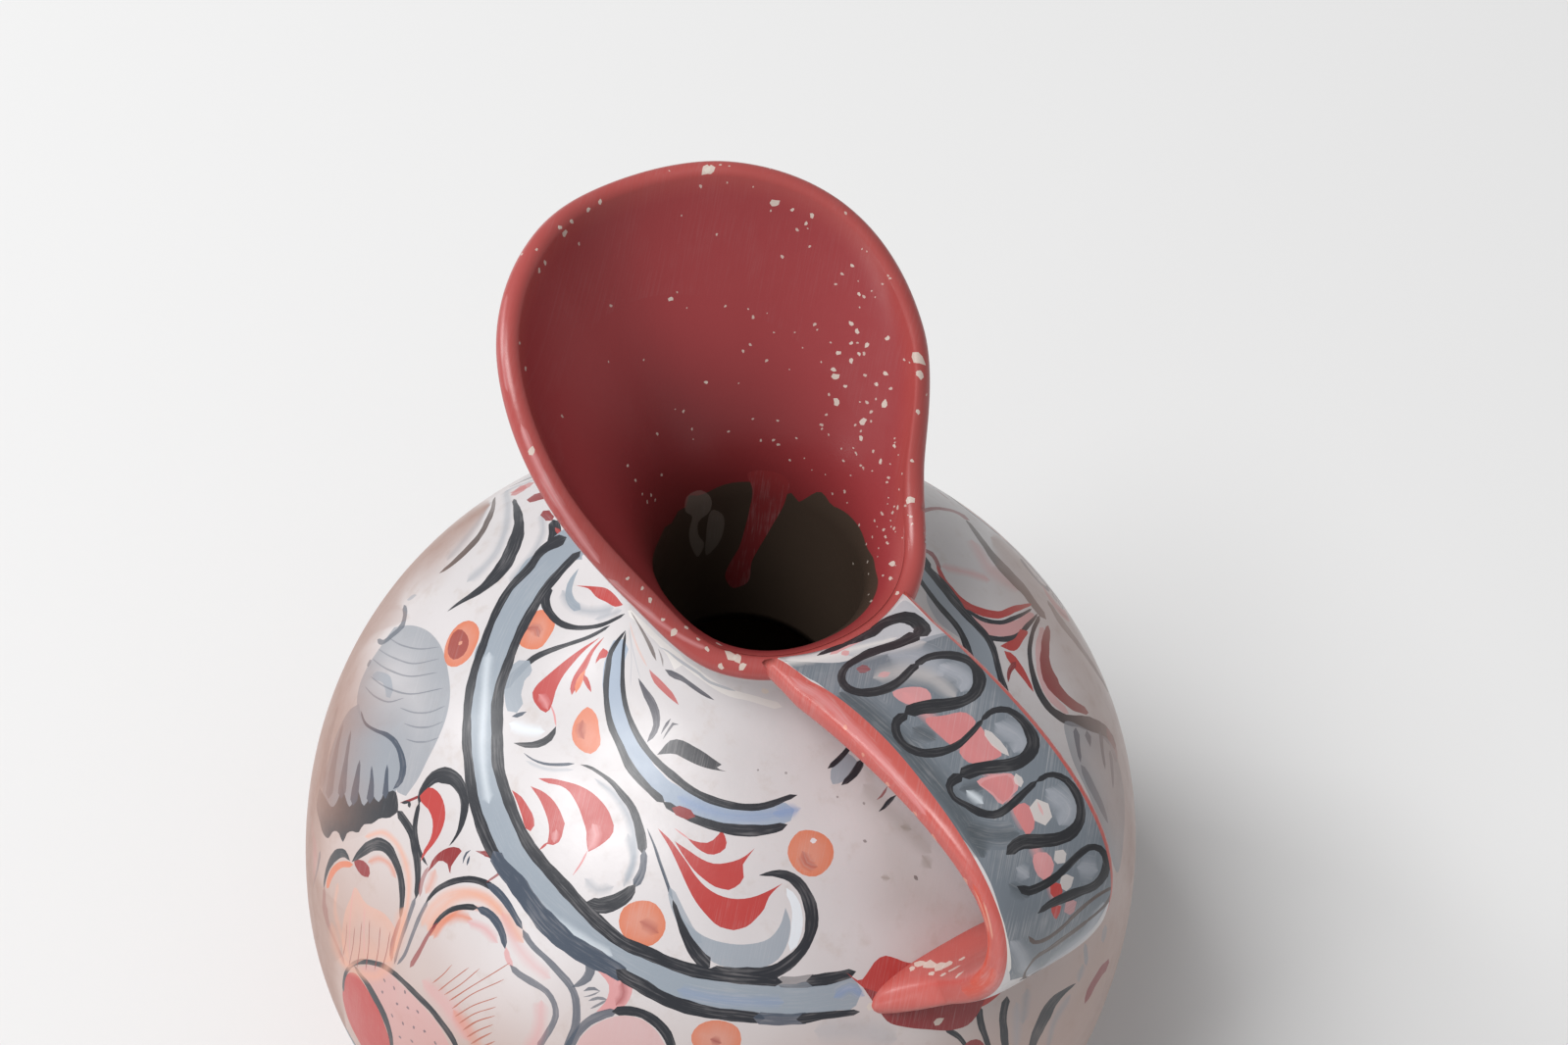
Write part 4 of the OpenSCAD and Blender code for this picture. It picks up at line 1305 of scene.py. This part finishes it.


# the brown low down is partly the clay's own tone and partly a painted reflection of a darker room
CREAM_COOL, CREAM_PALE, CREAM_STAIN, LOW_BROWN_AND_REFLECTION = "c5c1c2", "d5d0d1", "b5a79e", "a97f6c"
STAIN_SHARE, BROWN_SHARE = 0.35, 0.7
BROWN_TOP, BROWN_FULL, BROWN_WAVER = 0.158, 0.1, 0.04  # metres: where the brown starts and is full
HAIR_LONG, HAIR_ACROSS, HAIR_SIZE, PATCH_SIZE, STREAK_SIZE = 0.12, 2.2, 1.1, 0.7, 1.6
GLAZE_ROUGH, GLAZE_UNEVEN = 0.22, 0.22


def painted_clay():
    """Cream slip with stains, browner low down (partly the clay's own tone, partly a painted reflection of
    a darker room), under the painted slip that the mesh's layers give: its colour and cover, and where it
    lies along and across its stroke, for the brush's hairs."""
    n = Nodes("painted_clay")
    place = n.add("TexCoord", out=3)
    slip, _, _, cover = n.outputs("Attribute", attribute_name="slip")
    brush = n.add("Attribute", out=1, attribute_name="brush")
    along, across, streak = n.outputs("SeparateXYZ", {0: brush})
    wide = n.noise(place, 14.0, 3.0)
    fine = n.noise(place, 160.0, 4.0, 0.65)
    height = n.add("SeparateXYZ", {0: place}, 2)
    base = n.blend(n.step(wide, 0.3, 0.7), rgba(CREAM_COOL), rgba(CREAM_PALE))
    stain = n.math("MULTIPLY", n.step(fine, 0.52, 0.75), STAIN_SHARE)
    base = n.blend(stain, base, rgba(CREAM_STAIN))
    low = n.math("ADD", height, n.centred(wide, BROWN_WAVER))
    brown = n.math("MULTIPLY", n.step(low, BROWN_TOP, BROWN_FULL), BROWN_SHARE)
    base = n.blend(brown, base, rgba(LOW_BROWN_AND_REFLECTION))
    hairs = n.add("CombineXYZ", {0: n.math("MULTIPLY", along, HAIR_LONG),
                                 1: n.math("MULTIPLY", across, HAIR_ACROSS), 2: 0.0})
    hair = n.noise(hairs, 1.0, 3.0, 0.6)
    patch = n.noise(place, 90.0, 3.0, 0.6)
    thin = n.math("ADD", n.centred(hair, HAIR_SIZE), n.centred(patch, PATCH_SIZE))
    gaps = n.math("MULTIPLY", n.math("MAXIMUM", thin, 0.0), n.math("MULTIPLY", streak, STREAK_SIZE))
    keep = n.math("SUBTRACT", 1.0, gaps, clamp=True)
    share = n.math("MULTIPLY", cover, keep)
    spread = n.math("DIVIDE", 1.0, n.math("MAXIMUM", cover, 0.001))
    ink = n.add("VectorMath", {0: slip, 3: spread}, operation="SCALE")
    n.put(n.shader.inputs["Base Color"], n.blend(share, base, ink))
    rough = n.math("ADD", GLAZE_ROUGH, n.math("MULTIPLY", fine, GLAZE_UNEVEN))
    n.put(n.shader.inputs["Roughness"], rough)
    bump = n.add("Bump", {"Strength": 0.12, "Distance": 0.0006, "Height": fine})
    n.put(n.shader.inputs["Normal"], bump)
    return n.material


BARE_DARK, BARE_PALE, BARE_ROUGH = "8a7663", "a5917c", 0.8


def bare_clay():
    n = Nodes("bare_clay")
    place = n.add("TexCoord", out=3)
    colour = n.blend(n.noise(place, 60.0, 4.0), rgba(BARE_DARK), rgba(BARE_PALE))
    n.put(n.shader.inputs["Base Color"], colour)
    n.put(n.shader.inputs["Roughness"], BARE_ROUGH)
    return n.material


# pieces
CLAY = painted_clay()
CHART_HOLE = 1.002  # the chart's hole for the throat, against the radius of its end
SPOUT_UV_R = 24  # mm; inner radius of the spout's bake layout


def build_pot():
    net, edges = pot_ground()
    inner = chart_radius(RUN_END) * CHART_HOLE
    verts, tris, covered = cut(POT, net, edges, lambda m: np.hypot(m[:, 0], m[:, 1]) > inner)
    slip, brush = paint_corners(POT, verts, tris, covered)
    run = POT.unchart(verts[tris].mean(1))[:, 1]

    def round_layout(start, sign):
        return lambda p: np.stack([np.cos(p[:, 0]), np.sin(p[:, 0])], -1) * (start + sign * p[:, 1:])

    bands = [("spout_inside", RUN_END, RUN_CREST, round_layout(SPOUT_UV_R - RUN_END, 1)),
             ("spout_outside", RUN_CREST, 0, round_layout(NECK_R, -1)),
             ("shoulder", 0, RUN_WAIST, round_layout(NECK_R, 1)),
             ("belly", RUN_WAIST, RUN_BASE, round_layout(BASE_R + RUN_BASE, -1))]
    for name, low, high, layout in bands:
        pick = (run > low) & (run <= high)
        mesh_piece(name, POT, verts, tris[pick], slip[pick], brush[pick], CLAY, layout)
        print("piece", name, int(pick.sum()))


SEAM = 1e-3  # mm; a triangle nearer to the strap's seam than this is a sliver along it, with no area
CLEAR_RUN, BURIED = 150, 3  # past this run the strap is cut off where it lies deeper in the body


def build_strap():
    net, edges = strap_ground()

    def keep(middle):
        p = strap_chart(middle)
        at = strap_place(p[:, 0], p[:, 1])
        off_seam = (p[:, 0] > SEAM) & (p[:, 0] < STRAP_GIRTH - SEAM)
        depth = shoulder_radius(at[:, 2]) - np.hypot(at[:, 0], at[:, 1])
        return off_seam & ((p[:, 1] < CLEAR_RUN) | (depth < BURIED))

    verts, tris, covered = cut(STRAP, net, edges, keep)
    slip, brush = paint_corners(STRAP, verts, tris, covered)
    mesh_piece("handle", STRAP, verts, tris, slip, brush, CLAY, lambda p: p)
    print("piece handle", len(tris))


HOLLOW_SIDES = 96


def build_hollow():
    """The hollow under the throat and the flat base, both bare clay."""
    inside = np.vstack([INSIDE[TUBE_STEPS - 1:], [0, FLOOR_T]])
    base = np.array([[BASE_R, 0], [0, 0]])
    count = HOLLOW_SIDES
    turn = np.arange(count) / count * tau
    verts, faces = [], []
    for line in (inside, base):
        first = len(verts)
        for r, z in line:
            verts += [(r * cos(a) * MM, r * sin(a) * MM, z * MM) for a in turn]
        for i in range(len(line) - 1):
            for j in range(count):
                a, b = first + i * count + j, first + i * count + (j + 1) % count
                faces.append((a, a + count, b + count, b) if line is base else (a, b, b + count, a + count))
    mesh = bpy.data.meshes.new("hollow_and_base")
    mesh.from_pydata(verts, [], faces)
    mesh.polygons.foreach_set("use_smooth", [True] * (len(faces) - count) + [False] * count)
    add_piece("hollow_and_base", mesh, bare_clay())


build_pot()
build_strap()
build_hollow()


# floor and light
FLOOR_HALF, FLOOR_GREY, FLOOR_ROUGH = 6, 0.80, 0.9  # metres, linear grey
WORLD_STRENGTH = 0.36
# name, place, what it faces, width and depth (metres), watts
LIGHTS = [("sky", (0.64, 3.65, 5.94), (0, 0, 0.1), (3.5, 3.0), 370),
          ("window", (1.2, 1.08, 1.1), (0, 0, 0.15), (0.4, 0.5), 7),
          ("far_window", (-0.35, 1.9, 0.42), (0, 0, 0.14), (0.3, 0.4), 2)]


def add_floor():
    mesh = bpy.data.meshes.new("floor")
    corners = [(-1, -1), (1, -1), (1, 1), (-1, 1)]
    mesh.from_pydata([(x * FLOOR_HALF, y * FLOOR_HALF, 0) for x, y in corners], [], [(0, 1, 2, 3)])
    n = Nodes("floor")
    n.put(n.shader.inputs["Base Color"], (FLOOR_GREY, FLOOR_GREY, FLOOR_GREY, 1))
    n.put(n.shader.inputs["Roughness"], FLOOR_ROUGH)
    n.put(n.shader.inputs["Specular IOR Level"], 0.0)
    mesh.materials.append(n.material)
    floor = bpy.data.objects.new("floor", mesh)
    bpy.context.scene.collection.objects.link(floor)


def add_area(name, at, aim, size, power):
    data = bpy.data.lights.new(name, "AREA")
    data.shape, data.size, data.size_y = "RECTANGLE", size[0], size[1]
    data.energy = power
    light = bpy.data.objects.new(name, data)
    light.location = at
    light.rotation_euler = (Vector(aim) - Vector(at)).to_track_quat("-Z", "Y").to_euler()
    bpy.context.scene.collection.objects.link(light)


def add_world(strength):
    world = bpy.data.worlds.new("world")
    world.use_nodes = True
    world.node_tree.nodes["Background"].inputs[0].default_value = (1, 1, 1, 1)
    world.node_tree.nodes["Background"].inputs[1].default_value = strength
    bpy.context.scene.world = world


add_floor()
for light in LIGHTS:
    add_area(*light)
add_world(WORLD_STRENGTH)
bpy.context.scene.view_settings.view_transform = "Standard"
